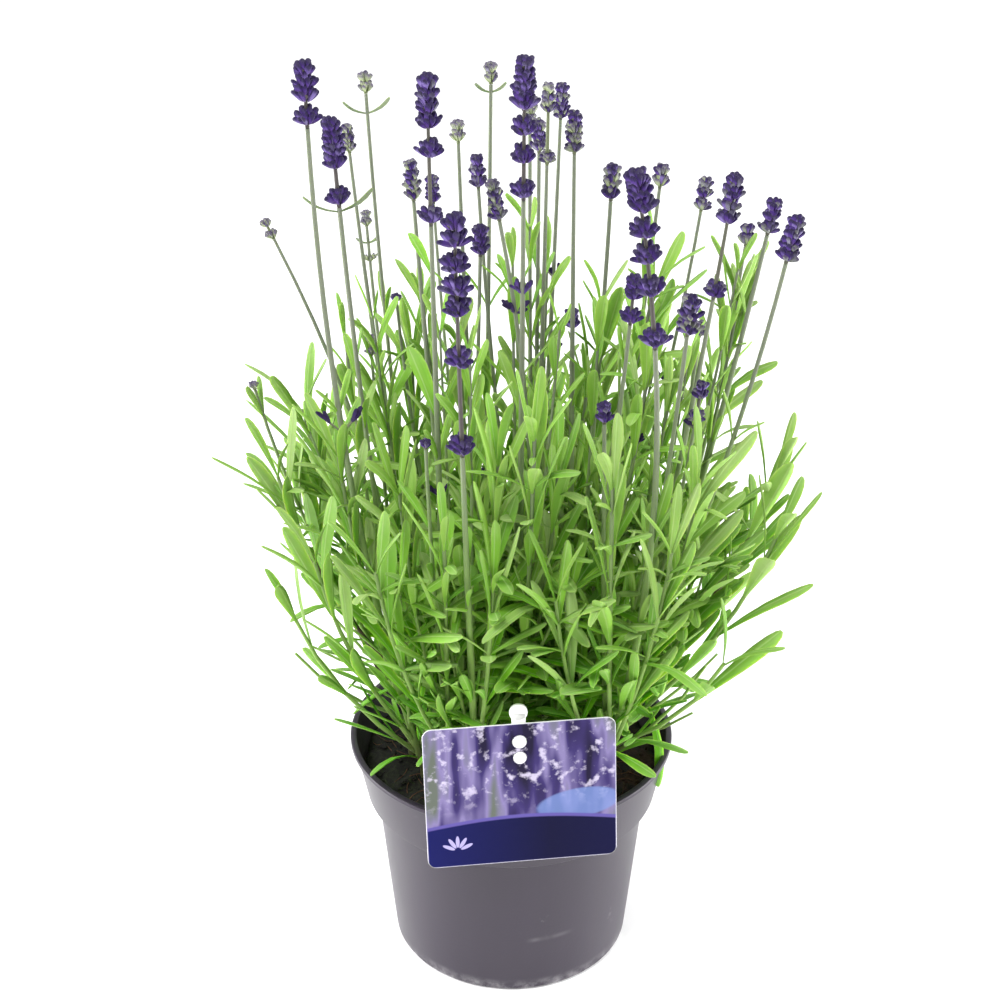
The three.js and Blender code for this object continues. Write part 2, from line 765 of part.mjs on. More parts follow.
// A head's rings from the bottom up. A whorl's ring has buds that rise to their reach between hollows.
function headRings(flower) {
  const { size } = flower;
  const depths = whorlDepths(flower).sort((a, b) => b - a);
  const rings = [{ depth: headDepth(flower), hollow: rachisRadius, tip: rachisRadius, rise: 0 }];
  depths.forEach((depth, i) => {
    const share = Math.min(1, 0.5 + (0.2 * depth) / denseStep);
    const reach = budReach * size * share;
    const above = depths[i + 1] ?? 0;
    const root = { depth: depth + budRise * 0.5 * size, hollow: rachisRadius, tip: rachisRadius, rise: 0 };
    rings.push(root);
    rings.push({ depth, hollow: 0.45 * reach, tip: reach, rise: budRise * 0.5 * size });
    const gap = depth - above;
    if (gap > 6 * size && above) {
      rings.push({ depth: depth - budRise * 0.6 * size, hollow: rachisRadius, tip: rachisRadius, rise: 0 });
    }
  });
  return rings;
}

function flowerHead(axis, number) {
  const { flower } = axis;
  const rings = headRings(flower);
  const count = flower.size < 1 ? budsAround.small : budsAround.large;
  const slope = directionAt(axis, axis.end.z).z;
  const body = new THREE.CylinderGeometry(1, 1, 1, 2 * count, rings.length - 1);
  reshape(body, (v) => {
    const level = Math.round((v.y + 0.5) * (rings.length - 1));
    const ring = rings[level];
    const isCentre = Math.hypot(v.x, v.z) < 0.5;
    if (isCentre) return pointAt(axis, level ? axis.end.z : axis.end.z - ring.depth * slope + fitGap);
    const angle = Math.atan2(v.z, v.x);
    const column = Math.round((angle / Math.PI) * count) + Math.floor(level / 2);
    const isBud = Math.abs(column % 2) === 1;
    const depth = ring.depth - (isBud ? ring.rise : 0);
    const z = axis.end.z - depth * slope + (level ? 0 : fitGap);
    const up = directionAt(axis, z);
    const out = vec(1, 0, 0).addScaledVector(up, -up.x).normalize().applyAxisAngle(up, -angle);
    return pointAt(axis, z).addScaledVector(out, isBud ? ring.tip : ring.hollow);
  });
  const name = `flower_head_${String(number + 1).padStart(2, "0")}`;
  const finishing = flower.ripe < 0.35 ? materials.bud : materials.violet;
  return part(name, body, finishing);
}

const lavender = new THREE.Group();
lavender.add(pot(), soil(solidOf(pegStrip(fitGap))), nameCard(), labelPeg());
stems.forEach((stem, index) => lavender.add(leafyStem(index)));
axes.filter((axis) => axis.flower).forEach((axis, number) => lavender.add(flowerHead(axis, number)));

export default lavender;
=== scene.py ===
import math
import bmesh
import bpy
import numpy as np
from mathutils import Matrix, Vector, noise


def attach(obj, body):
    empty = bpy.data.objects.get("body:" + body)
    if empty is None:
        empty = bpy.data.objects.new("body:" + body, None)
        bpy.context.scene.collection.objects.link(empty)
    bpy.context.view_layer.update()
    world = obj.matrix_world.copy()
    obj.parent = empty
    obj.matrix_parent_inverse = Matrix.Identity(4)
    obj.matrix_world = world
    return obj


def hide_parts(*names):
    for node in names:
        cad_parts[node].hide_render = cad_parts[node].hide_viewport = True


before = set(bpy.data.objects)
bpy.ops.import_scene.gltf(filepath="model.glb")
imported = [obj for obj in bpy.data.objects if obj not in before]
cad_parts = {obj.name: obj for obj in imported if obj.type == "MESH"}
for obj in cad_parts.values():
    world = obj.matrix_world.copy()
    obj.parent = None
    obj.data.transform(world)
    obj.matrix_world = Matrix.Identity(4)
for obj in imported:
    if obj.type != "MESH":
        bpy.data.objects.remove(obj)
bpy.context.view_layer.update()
print("frame loaded:", len(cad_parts), "nodes")

# All pieces are drawn in millimetres and scaled to metres when they are finished.
mm = 0.001

# Camera at the photograph's angle

cameraSet = {"place": (-0.0052, -0.680, 0.566), "tiltDown": 0.461, "lens": 62.46, "nearest": 0.01}


def makeCamera():
    camera = bpy.data.objects.new("camera", bpy.data.cameras.new("camera"))
    camera.location = cameraSet["place"]
    camera.rotation_euler = (math.pi / 2 - cameraSet["tiltDown"], 0, 0)
    camera.data.lens = cameraSet["lens"]
    camera.data.clip_start = cameraSet["nearest"]
    bpy.context.scene.collection.objects.link(camera)
    bpy.context.scene.camera = camera


makeCamera()
bpy.context.scene.view_settings.view_transform = "Standard"
print("camera ready")


# Shader maths: a wrapped socket adds its own Math nodes

class Socket:
    def __init__(self, paint, link):
        self.paint = paint
        self.link = link

    def __add__(self, other):
        return self.paint.maths("ADD", self, other)

    def __radd__(self, other):
        return self.paint.maths("ADD", other, self)

    def __sub__(self, other):
        return self.paint.maths("SUBTRACT", self, other)

    def __rsub__(self, other):
        return self.paint.maths("SUBTRACT", other, self)

    def __mul__(self, other):
        return self.paint.maths("MULTIPLY", self, other)

    def __truediv__(self, other):
        return self.paint.maths("DIVIDE", self, other)

    def __pow__(self, other):
        return self.paint.maths("POWER", self, other)


class Paint:
    def __init__(self, name):
        self.material = bpy.data.materials.new(name)
        self.material.use_nodes = True
        self.tree = self.material.node_tree
        self.shader = self.tree.nodes["Principled BSDF"]

    def node(self, kind, settings, inputs, output=0):
        made = self.tree.nodes.new("ShaderNode" + kind)
        for key, value in settings.items():
            if key == "stops":
                setStops(made.color_ramp, value)
            else:
                setattr(made, key, value)
        self.fill(made, inputs)
        return Socket(self, made.outputs[output])

    def fill(self, made, inputs):
        for key, value in inputs.items():
            if isinstance(value, Socket):
                self.tree.links.new(value.link, made.inputs[key])
            else:
                made.inputs[key].default_value = value

    def maths(self, operation, *values):
        return self.node("Math", {"operation": operation}, dict(enumerate(values)))

    def mix(self, share, first, second):
        return self.node("Mix", {"data_type": "RGBA"}, {0: share, 6: first, 7: second}, 2)

    def coat(self, colour, *coats):
        # Lays shades over a colour, each by its share
        for share, *levels in coats:
            colour = self.mix(share, colour, shade(*levels))
        return colour

    def between(self, value, low, high):
        return self.node("MapRange", {"interpolation_type": "SMOOTHSTEP"}, {0: value, 1: low, 2: high})

    def ramp(self, value, stops):
        return self.node("ValToRGB", {"stops": stops}, {0: value})

    def attribute(self, name):
        return self.node("Attribute", {"attribute_name": name}, {}, "Fac")

    def coordinates(self, kind):
        return self.node("TexCoord", {}, {}, kind)

    def parts(self, vector):
        return [self.node("SeparateXYZ", {}, {0: vector}, axis) for axis in range(3)]

    def vector(self, x, y, z):
        return self.node("CombineXYZ", {}, {0: x, 1: y, 2: z})

    def grain(self, place, scale, detail, roughness=0.5):
        inputs = {"Vector": place, "Scale": scale, "Detail": detail, "Roughness": roughness}
        return self.node("TexNoise", {}, inputs)

    def bump(self, height, strength, distance):
        return self.node("Bump", {}, {"Height": height, "Strength": strength, "Distance": distance})

    def finish(self, inputs):
        self.fill(self.shader, inputs)
        return self.material


def setStops(ramp, stops):
    # Each stop is its place and its shade's three levels
    while len(ramp.elements) < len(stops):
        ramp.elements.new(0.5)
    for element, (place, *levels) in zip(ramp.elements, stops):
        element.position = place
        element.color = shade(*levels)


def shade(*levels):
    # A colour as a screen shows it, from 0 to 255, made linear
    linear = [((level / 255 + 0.055) / 1.055) ** 2.4 if level > 10 else level / 3295 for level in levels]
    return (*linear, 1)


# Repeatable random numbers, and directions

# Where each run of draws starts; its own number is added for each stem, axis, head or tip
seeds = {
    "soil": 31, "leafPlaces": 200, "stem": 500, "head": 700, "budPairs": 811, "moreShoots": 900,
    "fillShoots": 1300, "spires": 2100,
}


def draws(seed):
    # Numbers from 0 to 1, drawn as the solids draw theirs
    state = (seed * 7919 + 104729) % 2147483647

    def draw():
        nonlocal state
        state = state * 16807 % 2147483647
        return state / 2147483647

    return draw


def within(bounds, random):
    return bounds[0] + (bounds[1] - bounds[0]) * random()


def swing(width, random):
    # A number drawn from either side of nought
    return width * (random() - 0.5)


def atAngle(angle, radius=1, z=0):
    return Vector((radius * math.cos(angle), radius * math.sin(angle), z))


def squared(vector, up):
    # A vector's direction once it is turned square to another
    return (vector - up * vector.dot(up)).normalized()


# Shapes

def column(sides, rings):
    # A closed tube with one ring at each whole height, to be reshaped
    bm = bmesh.new()
    bmesh.ops.create_circle(bm, cap_ends=True, segments=sides, radius=1)
    top = bm.faces[:]
    for _ in range(rings - 1):
        made = bmesh.ops.extrude_face_region(bm, geom=top)["geom"]
        top = [item for item in made if isinstance(item, bmesh.types.BMFace)]
        bmesh.ops.translate(bm, verts=top[0].verts[:], vec=(0, 0, 1))
    bmesh.ops.recalc_face_normals(bm, faces=bm.faces)
    for face in bm.faces:
        face.smooth = len(face.verts) == 4
    for edge in bm.edges:
        edge.smooth = all(face.smooth for face in edge.link_faces)
    return bm


def ringOf(vertex, sides):
    # A column's vertex as its place round the ring and its ring's number
    return round(math.atan2(vertex.co.y, vertex.co.x) / math.tau * sides) % sides, round(vertex.co.z)


def unwrap(bm, sides, place):
    # Gives a column its UV map: place(face, corner, ring) for each corner of its faces
    uv = bm.loops.layers.uv.new("uv")
    for face in bm.faces:
        for loop in face.loops:
            loop[uv].uv = place(face, *ringOf(loop.vert, sides))


def soften(bm, geometry, offset, segments, affect="EDGES"):
    bmesh.ops.bevel(
        bm, geom=geometry, offset=offset, segments=segments, profile=0.5, affect=affect, material=-1,
    )


def addDrum(bm, radius, depth, segments, matrix):
    bmesh.ops.create_cone(
        bm, cap_ends=True, segments=segments, radius1=radius, radius2=radius, depth=depth, matrix=matrix,
    )


def kept(bm, name):
    mesh = bpy.data.meshes.new(name)
    bm.to_mesh(mesh)
    bm.free()
    return mesh


def stamp(bm, shape, place, marks):
    # Adds a copy of a shape, with place(x, y, z) for each vertex and its marks in the vertex layers
    known = len(bm.verts)
    bm.from_mesh(shape)
    bm.verts.ensure_lookup_table()
    layers = [(bm.verts.layers.float[name], value) for name, value in marks.items()]
    for vertex in bm.verts[known:]:
        vertex.co = place(*vertex.co)
        for layer, value in layers:
            vertex[layer] = value


def blank(*marks):
    bm = bmesh.new()
    bm.loops.layers.uv.new("uv")
    for name in marks:
        bm.verts.layers.float.new(name)
    return bm


def finishPiece(bm, name, slot, materials, *nodes):
    bmesh.ops.scale(bm, verts=bm.verts, vec=(mm, mm, mm))
    piece = bpy.data.objects.new(name, kept(bm, name))
    for material in materials:
        piece.data.materials.append(material)
    bpy.context.scene.collection.objects.link(piece)
    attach(piece, "root")
    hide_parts(*nodes)
    return piece


def cutAway(piece, bm):
    # Takes a shape, still in millimetres, out of a finished piece
    bmesh.ops.scale(bm, verts=bm.verts, vec=(mm, mm, mm))
    cutter = bpy.data.objects.new("cutter", kept(bm, "cutter"))
    bpy.context.scene.collection.objects.link(cutter)
    modifier = piece.modifiers.new("cut", "BOOLEAN")
    modifier.operation = "DIFFERENCE"
    modifier.object = cutter
    shown = piece.evaluated_get(bpy.context.evaluated_depsgraph_get())
    piece.data = bpy.data.meshes.new_from_object(shown)
    piece.modifiers.clear()
    bpy.data.objects.remove(cutter)


# Pot

potSet = {
    "height": 110, "rim": 75, "base": 56, "wall": 1.6, "steps": 144,
    "collarFoot": (68, 81), "shoulder": (63.4, 79.5), "lip": 3, "overhang": 1.2,
    "baseCorner": 1.5, "bottomCorner": 0.5, "lipRound": 0.6, "softEdge": 0.45, "touch": 1e-3,
    "drains": {"count": 6, "radius": 4, "circle": 42, "segments": 24},
}


def spun(outline, steps):
    bm = bmesh.new()
    points = [bm.verts.new((radius, 0, height)) for radius, height in outline]
    for first, second in zip(points, points[1:]):
        bm.edges.new((first, second))
    geometry = bm.verts[:] + bm.edges[:]
    bmesh.ops.spin(bm, geom=geometry, axis=(0, 0, 1), angle=math.tau, steps=steps, use_merge=True)
    bmesh.ops.remove_doubles(bm, verts=bm.verts, dist=1e-4)
    bmesh.ops.recalc_face_normals(bm, faces=bm.faces)
    for face in bm.faces:
        face.smooth = True
    return bm


def softenRings(bm, outline, offset):
    # Rounds the rings where an outline turns
    turns = [(radius, height) for radius, height in outline if radius > 1]
    rings = []
    for edge in bm.edges:
        ends = [(math.hypot(v.co.x, v.co.y), v.co.z) for v in edge.verts]
        isRing = max(abs(a - b) for a, b in zip(*ends)) < potSet["touch"]
        if isRing and any(math.dist(ends[0], turn) < potSet["touch"] for turn in turns):
            rings.append(edge)
    soften(bm, rings, offset, 3)


def cavityOutline(gap):
    # The pot's inner wall from the bottom up, drawn in by a gap
    inset = potSet["wall"] + gap
    shoulder, foot = potSet["shoulder"], potSet["collarFoot"]
    return [
        (0, inset),
        (potSet["base"] - inset - potSet["bottomCorner"], inset),
        (shoulder[0] - inset, shoulder[1] + inset),
        (foot[0] - inset, foot[1] + inset),
    ]


def makePot():
    top, underLip = potSet["height"], potSet["height"] - potSet["lip"]
    rim, lipRound = potSet["rim"], potSet["lipRound"]
    collarTop = rim - potSet["overhang"]
    outline = [
        (0, 0),
        (potSet["base"] - potSet["baseCorner"], 0),
        (potSet["base"], potSet["baseCorner"]),
        potSet["shoulder"],
        potSet["collarFoot"],
        (collarTop - lipRound, underLip),
        (rim, underLip + lipRound),
        (rim, top - lipRound),
        (rim - lipRound, top),
        (collarTop - potSet["wall"], top),
        *reversed(cavityOutline(0)),
    ]
    bm = spun(outline, potSet["steps"])
    softenRings(bm, outline, potSet["softEdge"])
    inner = collarTop - potSet["wall"] + 0.05
    for face in bm.faces:
        face.smooth = True
        centre = face.calc_center_median()
        out = Vector((centre.x, centre.y, 0))
        isFloor = face.normal.z > 0.5 and centre.z < 2 * potSet["wall"]
        isInside = face.normal.dot(out) < 0 or isFloor
        face.material_index = 1 if isInside and out.length < inner else 0
    pot = finishPiece(bm, "pot_shell", "pot", [potFinish(), potInside()], "pot")
    cutDrains(pot)


def cutDrains(pot):
    drains = potSet["drains"]
    bm = bmesh.new()
    for i in range(drains["count"]):
        place = atAngle(math.tau * (i + 0.5) / drains["count"], drains["circle"])
        addDrum(bm, drains["radius"], 4 * potSet["wall"], drains["segments"], Matrix.Translation(place))
    cutAway(pot, bm)


def potFinish():
    paint = Paint("satinPotPlastic")
    place = paint.coordinates("Object")
    x, y, z = paint.parts(place)
    mottled = paint.grain(place, 18, 4)
    flow = paint.grain(paint.node("VectorMath", {"operation": "MULTIPLY"}, {0: place, 1: (60, 60, 6)}), 1, 3)
    dust = paint.between(z, 0.008, 0.0) * paint.between(paint.grain(place, 110, 6, 0.65), 0.4, 0.7)
    # One faint pale smear, low at the front and a little to the right
    level = paint.maths("ABSOLUTE", z - 0.0315 - x * 0.04)
    smear = paint.between(level, 0.002, 0.0) * paint.between(x, 0.006, 0.014) * paint.between(x, 0.03, 0.018)
    smear = smear * paint.between(y, 0.0, -0.01) * paint.between(flow, 0.3, 0.6)
    scuffs = paint.between(paint.grain(place, 160, 3, 0.7), 0.64, 0.74) * paint.between(mottled, 0.52, 0.7)
    colour = paint.coat(
        paint.mix(mottled, shade(28, 20, 35), shade(38, 29, 45)),
        (flow * 0.2, 60, 50, 68),
        (dust * 0.5 + smear * 0.14, 205, 203, 205),
        (scuffs * 0.18, 170, 167, 172),
    )
    height = paint.grain(place, 900, 2) * 0.5 + flow * 0.5
    return paint.finish({
        "Base Color": colour,
        "Roughness": 0.30 + mottled * 0.12 + dust * 0.35,
        "Normal": paint.bump(height, 0.25, 0.0002),
        "Specular IOR Level": 0.42,
    })


def potInside():
    paint = Paint("darkPotInside")
    place = paint.coordinates("Object")
    smear = paint.grain(place, 120, 5, 0.65)
    colour = paint.mix(paint.between(smear, 0.4, 0.7), shade(9, 8, 9), shade(26, 21, 19))
    return paint.finish({
        "Base Color": colour,
        "Roughness": 0.42 + smear * 0.3,
        "Normal": paint.bump(smear, 0.4, 0.0006),
    })


makePot()
print("pot made")


# Soil

soilSet = {
    "top": 94, "gap": 0.3, "lump": 1.3, "spokes": 120, "rings": 34, "rounded": 2, "drop": 1.5,
    "crumbs": 620, "crumbSize": (0.5, 2.1), "crumbInset": 2, "rough": 0.45, "rise": 0.25, "mostlySmall": 2.5,
    "crumbShape": [(0.7, 1.3), (0.7, 1.3), (0.6, 1)], "crumbTint": (0.15, 0.55), "fibreTint": (0.75, 1),
    "fibres": 110, "fibreLength": (6, 20), "fibreRadius": 0.22, "fibreInset": 6, "fibreRings": 6,
    "fibreBend": 1.6, "fibreRise": 0.3, "fibreLift": 1.4,
}


def soilHeight(x, y):
    wave = math.sin(x * 0.21 + 1) * math.cos(y * 0.17) + 0.6 * math.sin(x * 0.37 - y * 0.31)
    lumps = noise.noise(Vector((x, y, 3)) * 0.16) * 1.7 + noise.noise(Vector((x, y, 9)) * 0.45) * 0.9
    return soilSet["top"] + soilSet["lump"] * wave * 0.8 + lumps


def soilEdge():
    foot = potSet["collarFoot"]
    collarTop = potSet["rim"] - potSet["overhang"]
    share = (soilSet["top"] - foot[1] - potSet["wall"]) / (potSet["height"] - foot[1] - potSet["wall"])
    return foot[0] - potSet["wall"] + (collarTop - foot[0]) * share - soilSet["gap"]


def scattered(random, reach):
    # A place evenly spread within reach of the pot's middle
    out = reach * math.sqrt(random())
    return atAngle(math.tau * random(), out)


def soilBody(edge):
    count = soilSet["rings"]
    surface = [(edge * (1 - i / count), soilSet["top"]) for i in range(count + 1)]
    bm = spun([*cavityOutline(soilSet["gap"]), *surface], soilSet["spokes"])
    for vertex in bm.verts:
        if vertex.co.z > soilSet["top"] - 0.5:
            out = math.hypot(vertex.co.x, vertex.co.y)
            drop = soilSet["drop"] * max(0, out - edge + soilSet["rounded"]) / soilSet["rounded"]
            vertex.co.z = soilHeight(vertex.co.x, vertex.co.y) - drop
    return kept(bm, "soilBody")


def addCrumb(bm, ball, edge, random):
    centre = scattered(random, edge - soilSet["crumbInset"])
    low, high = soilSet["crumbSize"]
    size = low + (high - low) * random() ** soilSet["mostlySmall"]
    centre.z = soilHeight(centre.x, centre.y) + soilSet["rise"] * size
    stretch = [within(bounds, random) for bounds in soilSet["crumbShape"]]
    seed = 10 * random()

    def place(x, y, z):
        point = Vector((x, y, z))
        rough = 1 + soilSet["rough"] * noise.noise(point * 1.7 + Vector((seed, 0, 0)))
        return centre + Vector([size * rough * a * b for a, b in zip(point, stretch)])

    stamp(bm, ball, place, {"tint": within(soilSet["crumbTint"], random)})


def addFibre(bm, strand, edge, random):
    start = scattered(random, edge - soilSet["fibreInset"])
    heading = math.tau * random()
    bend = swing(soilSet["fibreBend"], random)
    length = within(soilSet["fibreLength"], random)
    lift = random()
    most = edge - soilSet["crumbInset"]

    def place(x, y, z):
        share = z / (soilSet["fibreRings"] - 1)
        turn = heading + bend * (share - 0.5)
        at = start + atAngle(turn) * (length * (share - 0.5))
        if at.length > most:
            at *= most / at.length
        arc = soilSet["fibreLift"] * lift * math.sin(math.pi * share)
        at.z = soilHeight(at.x, at.y) + soilSet["fibreRise"] + arc
        radius = soilSet["fibreRadius"] * (1.2 - 0.5 * share)
        side = Vector((-math.sin(turn), math.cos(turn), 0))
        return at + side * x * radius + Vector((0, 0, y * radius))

    stamp(bm, strand, place, {"tint": within(soilSet["fibreTint"], random)})


def makeSoil():
    edge = soilEdge()
    bm = blank("tint")
    bm.from_mesh(soilBody(edge))
    random = draws(seeds["soil"])
    ball = bmesh.new()
    bmesh.ops.create_icosphere(ball, subdivisions=1, radius=1)
    crumb = kept(ball, "crumb")
    for _ in range(soilSet["crumbs"]):
        addCrumb(bm, crumb, edge, random)
    strand = kept(column(4, soilSet["fibreRings"]), "strand")
    for _ in range(soilSet["fibres"]):
        addFibre(bm, strand, edge, random)
    bmesh.ops.recalc_face_normals(bm, faces=bm.faces)
    finishPiece(bm, "soil_fill", "soil", [soilFinish()], "soil")


def soilFinish():
    paint = Paint("moistPeat")
    place = paint.coordinates("Object")
    x, y, _ = paint.parts(place)
    tint = paint.attribute("tint")
    coarse = paint.grain(place, 90, 6, 0.7)
    fine = paint.grain(place, 420, 4, 0.7)
    # Reddish bark at the right, a little moss at the front left
    bark = paint.between(x, 0.015, 0.055) * paint.between(coarse, 0.45, 0.62)
    moss = paint.between(x, -0.015, -0.045) * paint.between(y, 0.02, -0.03) * paint.between(fine, 0.46, 0.62)
    peat = [(0.30, 3, 2, 2), (0.48, 9, 7, 5), (0.60, 24, 16, 11), (0.74, 58, 39, 26)]
    colour = paint.coat(
        paint.ramp(coarse * 0.5 + fine * 0.5, peat),
        (bark * 0.5, 70, 34, 20),
        (moss * 0.5, 38, 48, 16),
        (paint.between(tint, 0.6, 0.9), 92, 62, 42),
    )
    return paint.finish({
        "Base Color": colour,
        "Roughness": 0.95 - fine * 0.25,
        "Normal": paint.bump(coarse * 0.5 + fine * 0.6, 0.9, 0.0012),
    })


makeSoil()
print("soil made")


# Name card and its peg

cardSet = {
    "width": 82, "height": 66, "thickness": 0.7, "corner": 4, "lean": 7, "roll": 1, "turn": 6,
    "across": -4, "up": 125.5, "gap": 0.3, "softEdge": 0.12, "border": 0.008,
    "studs": [(2.9, 24.5), (2.7, 17)], "studHeight": 0.5, "studDepth": 0.4, "holeDepth": 4, "segments": 40,
    # The printed sprig, in shares of the card: radii are a leaf's own, turns its first angle and the step
    "sprig": {
        "leaves": 5, "middle": (0.16, 0.115), "reach": (0.052, 0.066), "radii": (0.034, 0.010),
        "turns": (25, 32.5),
    },
}
pegSet = {
    "width": 6, "thickness": 1.6, "head": 3.9, "headUp": 37.5, "bendUp": 10, "tipDepth": -57, "tipHeight": 68,
    "softEdge": 0.35, "tipShare": 0.55, "segments": 48,
}


def cardTurn():
    return Matrix.Rotation(math.radians(cardSet["turn"]), 4, "Z")


def cardPlace():
    # Local X runs across the card, local Y up it, and local Z out of its printed face
    lean = Matrix.Rotation(math.pi / 2 - math.radians(cardSet["lean"]), 4, "X")
    roll = Matrix.Rotation(math.radians(cardSet["roll"]), 4, "Z")
    back = -(potSet["rim"] + cardSet["gap"])
    y = back + (cardSet["up"] - potSet["height"]) * math.tan(math.radians(cardSet["lean"]))
    return cardTurn() @ Matrix.Translation((cardSet["across"], y, cardSet["up"])) @ lean @ roll


def makeCard():
    width, height, thick = cardSet["width"], cardSet["height"], cardSet["thickness"]
    bm = bmesh.new()
    uv = bm.loops.layers.uv.new("uv")
    bmesh.ops.create_grid(bm, x_segments=1, y_segments=1, size=0.5)
    bmesh.ops.scale(bm, verts=bm.verts, vec=(width, height, 1))
    soften(bm, bm.verts[:], cardSet["corner"], 10, "VERTICES")
    front = bmesh.ops.extrude_face_region(bm, geom=bm.faces[:])["geom"]
    bmesh.ops.translate(bm, verts=[v for v in front if isinstance(v, bmesh.types.BMVert)], vec=(0, 0, thick))
    bmesh.ops.recalc_face_normals(bm, faces=bm.faces)
    rims = [edge for edge in bm.edges if abs(edge.verts[0].co.z - edge.verts[1].co.z) < 1e-5]
    soften(bm, rims, cardSet["softEdge"], 2)
    for face in bm.faces:
        face.material_index = 0 if face.normal.z > 0.99 else 1
        for loop in face.loops:
            loop[uv].uv = (loop.vert.co.x / width + 0.5, loop.vert.co.y / height + 0.5)
    holes = bmesh.new()
    for radius, up in cardSet["studs"]:
        place = Matrix.Translation((0, up, 0))
        addDrum(holes, radius + cardSet["gap"], cardSet["holeDepth"], cardSet["segments"], place)
    for shape in (bm, holes):
        bmesh.ops.transform(shape, matrix=cardPlace(), verts=shape.verts)
    card = finishPiece(bm, "picture_card", "card", [cardPrint(), whitePlastic("cardEdge", 0.35)], "name_card")
    cutAway(card, holes)


def ellipse(paint, u, v, centre, radii, tilt):
    # 1 inside a tilted ellipse in the card's own place, 0 outside
    across, up = u - centre[0], (v - centre[1]) * (cardSet["height"] / cardSet["width"])
    along = across * math.cos(tilt) + up * math.sin(tilt)
    aside = up * math.cos(tilt) - across * math.sin(tilt)
    far = (along / radii[0]) ** 2 + (aside / radii[1]) ** 2
    return paint.between(far, 1.15, 0.85)


def cardPrint():
    paint = Paint("printedCard")
    u, v, _ = paint.parts(paint.coordinates("UV"))
    streaks = paint.grain(paint.vector(u * 9, v * 1.6, 0.4), 1, 2, 0.45)
    spots = paint.grain(paint.vector(u * 15, v * 12, 3.1), 1, 3, 0.6)
    field = [(0.30, 24, 18, 44), (0.43, 52, 42, 92), (0.55, 118, 108, 150), (0.68, 88, 94, 86)]
    bright = paint.between(spots, 0.52, 0.68) * paint.between(v, 0.34, 0.6)
    # A painted sheen, pale blue, at the lower right, then the dark band with its curved upper edge
    paintedSheen = ellipse(paint, u, v, (0.80, 0.40), (0.22, 0.085), 0.12)
    above = v - (0.25 + paint.maths("SINE", u * 2.6 + 0.3) * 0.075)
    colour = paint.coat(
        paint.ramp(streaks, field),
        (bright * 0.75, 196, 188, 210),
        (paintedSheen * 0.7, 104, 124, 176),
        (paint.between(above, 0.03, 0.018), 84, 74, 140),
    )
    deep = paint.ramp(u, [(0.0, 12, 16, 78), (0.65, 4, 4, 42), (1.0, 5, 5, 48)])
    colour = paint.mix(paint.between(above, 0.006, -0.006), colour, deep)
    sprig = cardSet["sprig"]
    for i in range(sprig["leaves"]):
        tilt = math.radians(sprig["turns"][0] + sprig["turns"][1] * i)
        centre = (
            sprig["middle"][0] + sprig["reach"][0] * math.cos(tilt),
            sprig["middle"][1] + sprig["reach"][1] * math.sin(tilt),
        )
        colour = paint.coat(colour, (ellipse(paint, u, v, centre, sprig["radii"], tilt) * 0.9, 166, 158, 206))
    inside = 1
    for away in (u, 1 - u, v, 1 - v):
        inside = paint.between(away, 0.0, cardSet["border"]) * inside
    colour = paint.mix(inside, shade(164, 160, 190), colour)
    return paint.finish({"Base Color": colour, "Roughness": 0.34 + spots * 0.06, "Specular IOR Level": 0.1})


def whitePlastic(name, roughness):
    paint = Paint(name)
    place = paint.coordinates("Object")
    cloudy = paint.grain(place, 220, 3)
    colour = paint.mix(cloudy, shade(228, 228, 226), shade(243, 243, 241))
    return paint.finish({
        "Base Color": colour,
        "Roughness": roughness + cloudy * 0.1,
        "Normal": paint.bump(cloudy, 0.12, 0.0003),
    })


def makePeg():
    place, turn = cardPlace(), cardTurn()
    thick, half, gap = pegSet["thickness"], pegSet["width"] / 2, cardSet["gap"]
    spine = [
        place @ Vector((0, pegSet["headUp"], -gap)),
        place @ Vector((0, pegSet["bendUp"], -gap)),
        turn @ Vector((cardSet["across"], pegSet["tipDepth"], pegSet["tipHeight"])),
    ]
    aside = turn.to_3x3() @ Vector((1, 0, 0))
    behind = turn.to_3x3() @ Vector((0, 1, 0))
    bm = column(4, len(spine))
    for vertex in bm.verts:
        corner, level = ringOf(vertex, 4)
        wide = half * (1 if corner in (0, 3) else -1) * (pegSet["tipShare"] if level == 2 else 1)
        deep = thick if corner in (0, 1) else 0
        vertex.co = spine[level] + aside * wide + behind * deep
    bmesh.ops.recalc_face_normals(bm, faces=bm.faces)
    soften(bm, bm.edges[:], pegSet["softEdge"], 2)
    discs = [(pegSet["head"], pegSet["headUp"], -thick - gap, -gap)]
    for radius, up in cardSet["studs"]:
        discs.append((radius, up, -gap - cardSet["studDepth"], cardSet["thickness"] + cardSet["studHeight"]))
    for radius, up, low, high in discs:
        disc = bmesh.new()
        middle = Matrix.Translation((0, up, (low + high) / 2))
        addDrum(disc, radius, high - low, pegSet["segments"], place @ middle)
        rims = [edge for edge in disc.edges if any(len(face.verts) > 4 for face in edge.link_faces)]
        soften(disc, rims, pegSet["softEdge"], 3)
        bm.from_mesh(kept(disc, "disc"))
    for face in bm.faces:
        face.smooth = face.calc_area() < 3
    finishPiece(bm, "card_peg", "peg", [whitePlastic("pegPlastic", 0.3)], "label_peg")


makeCard()
makePeg()
print("card and peg made")


# The plant's rule: the same stems, stalks, shoots and leaf places as in the solids

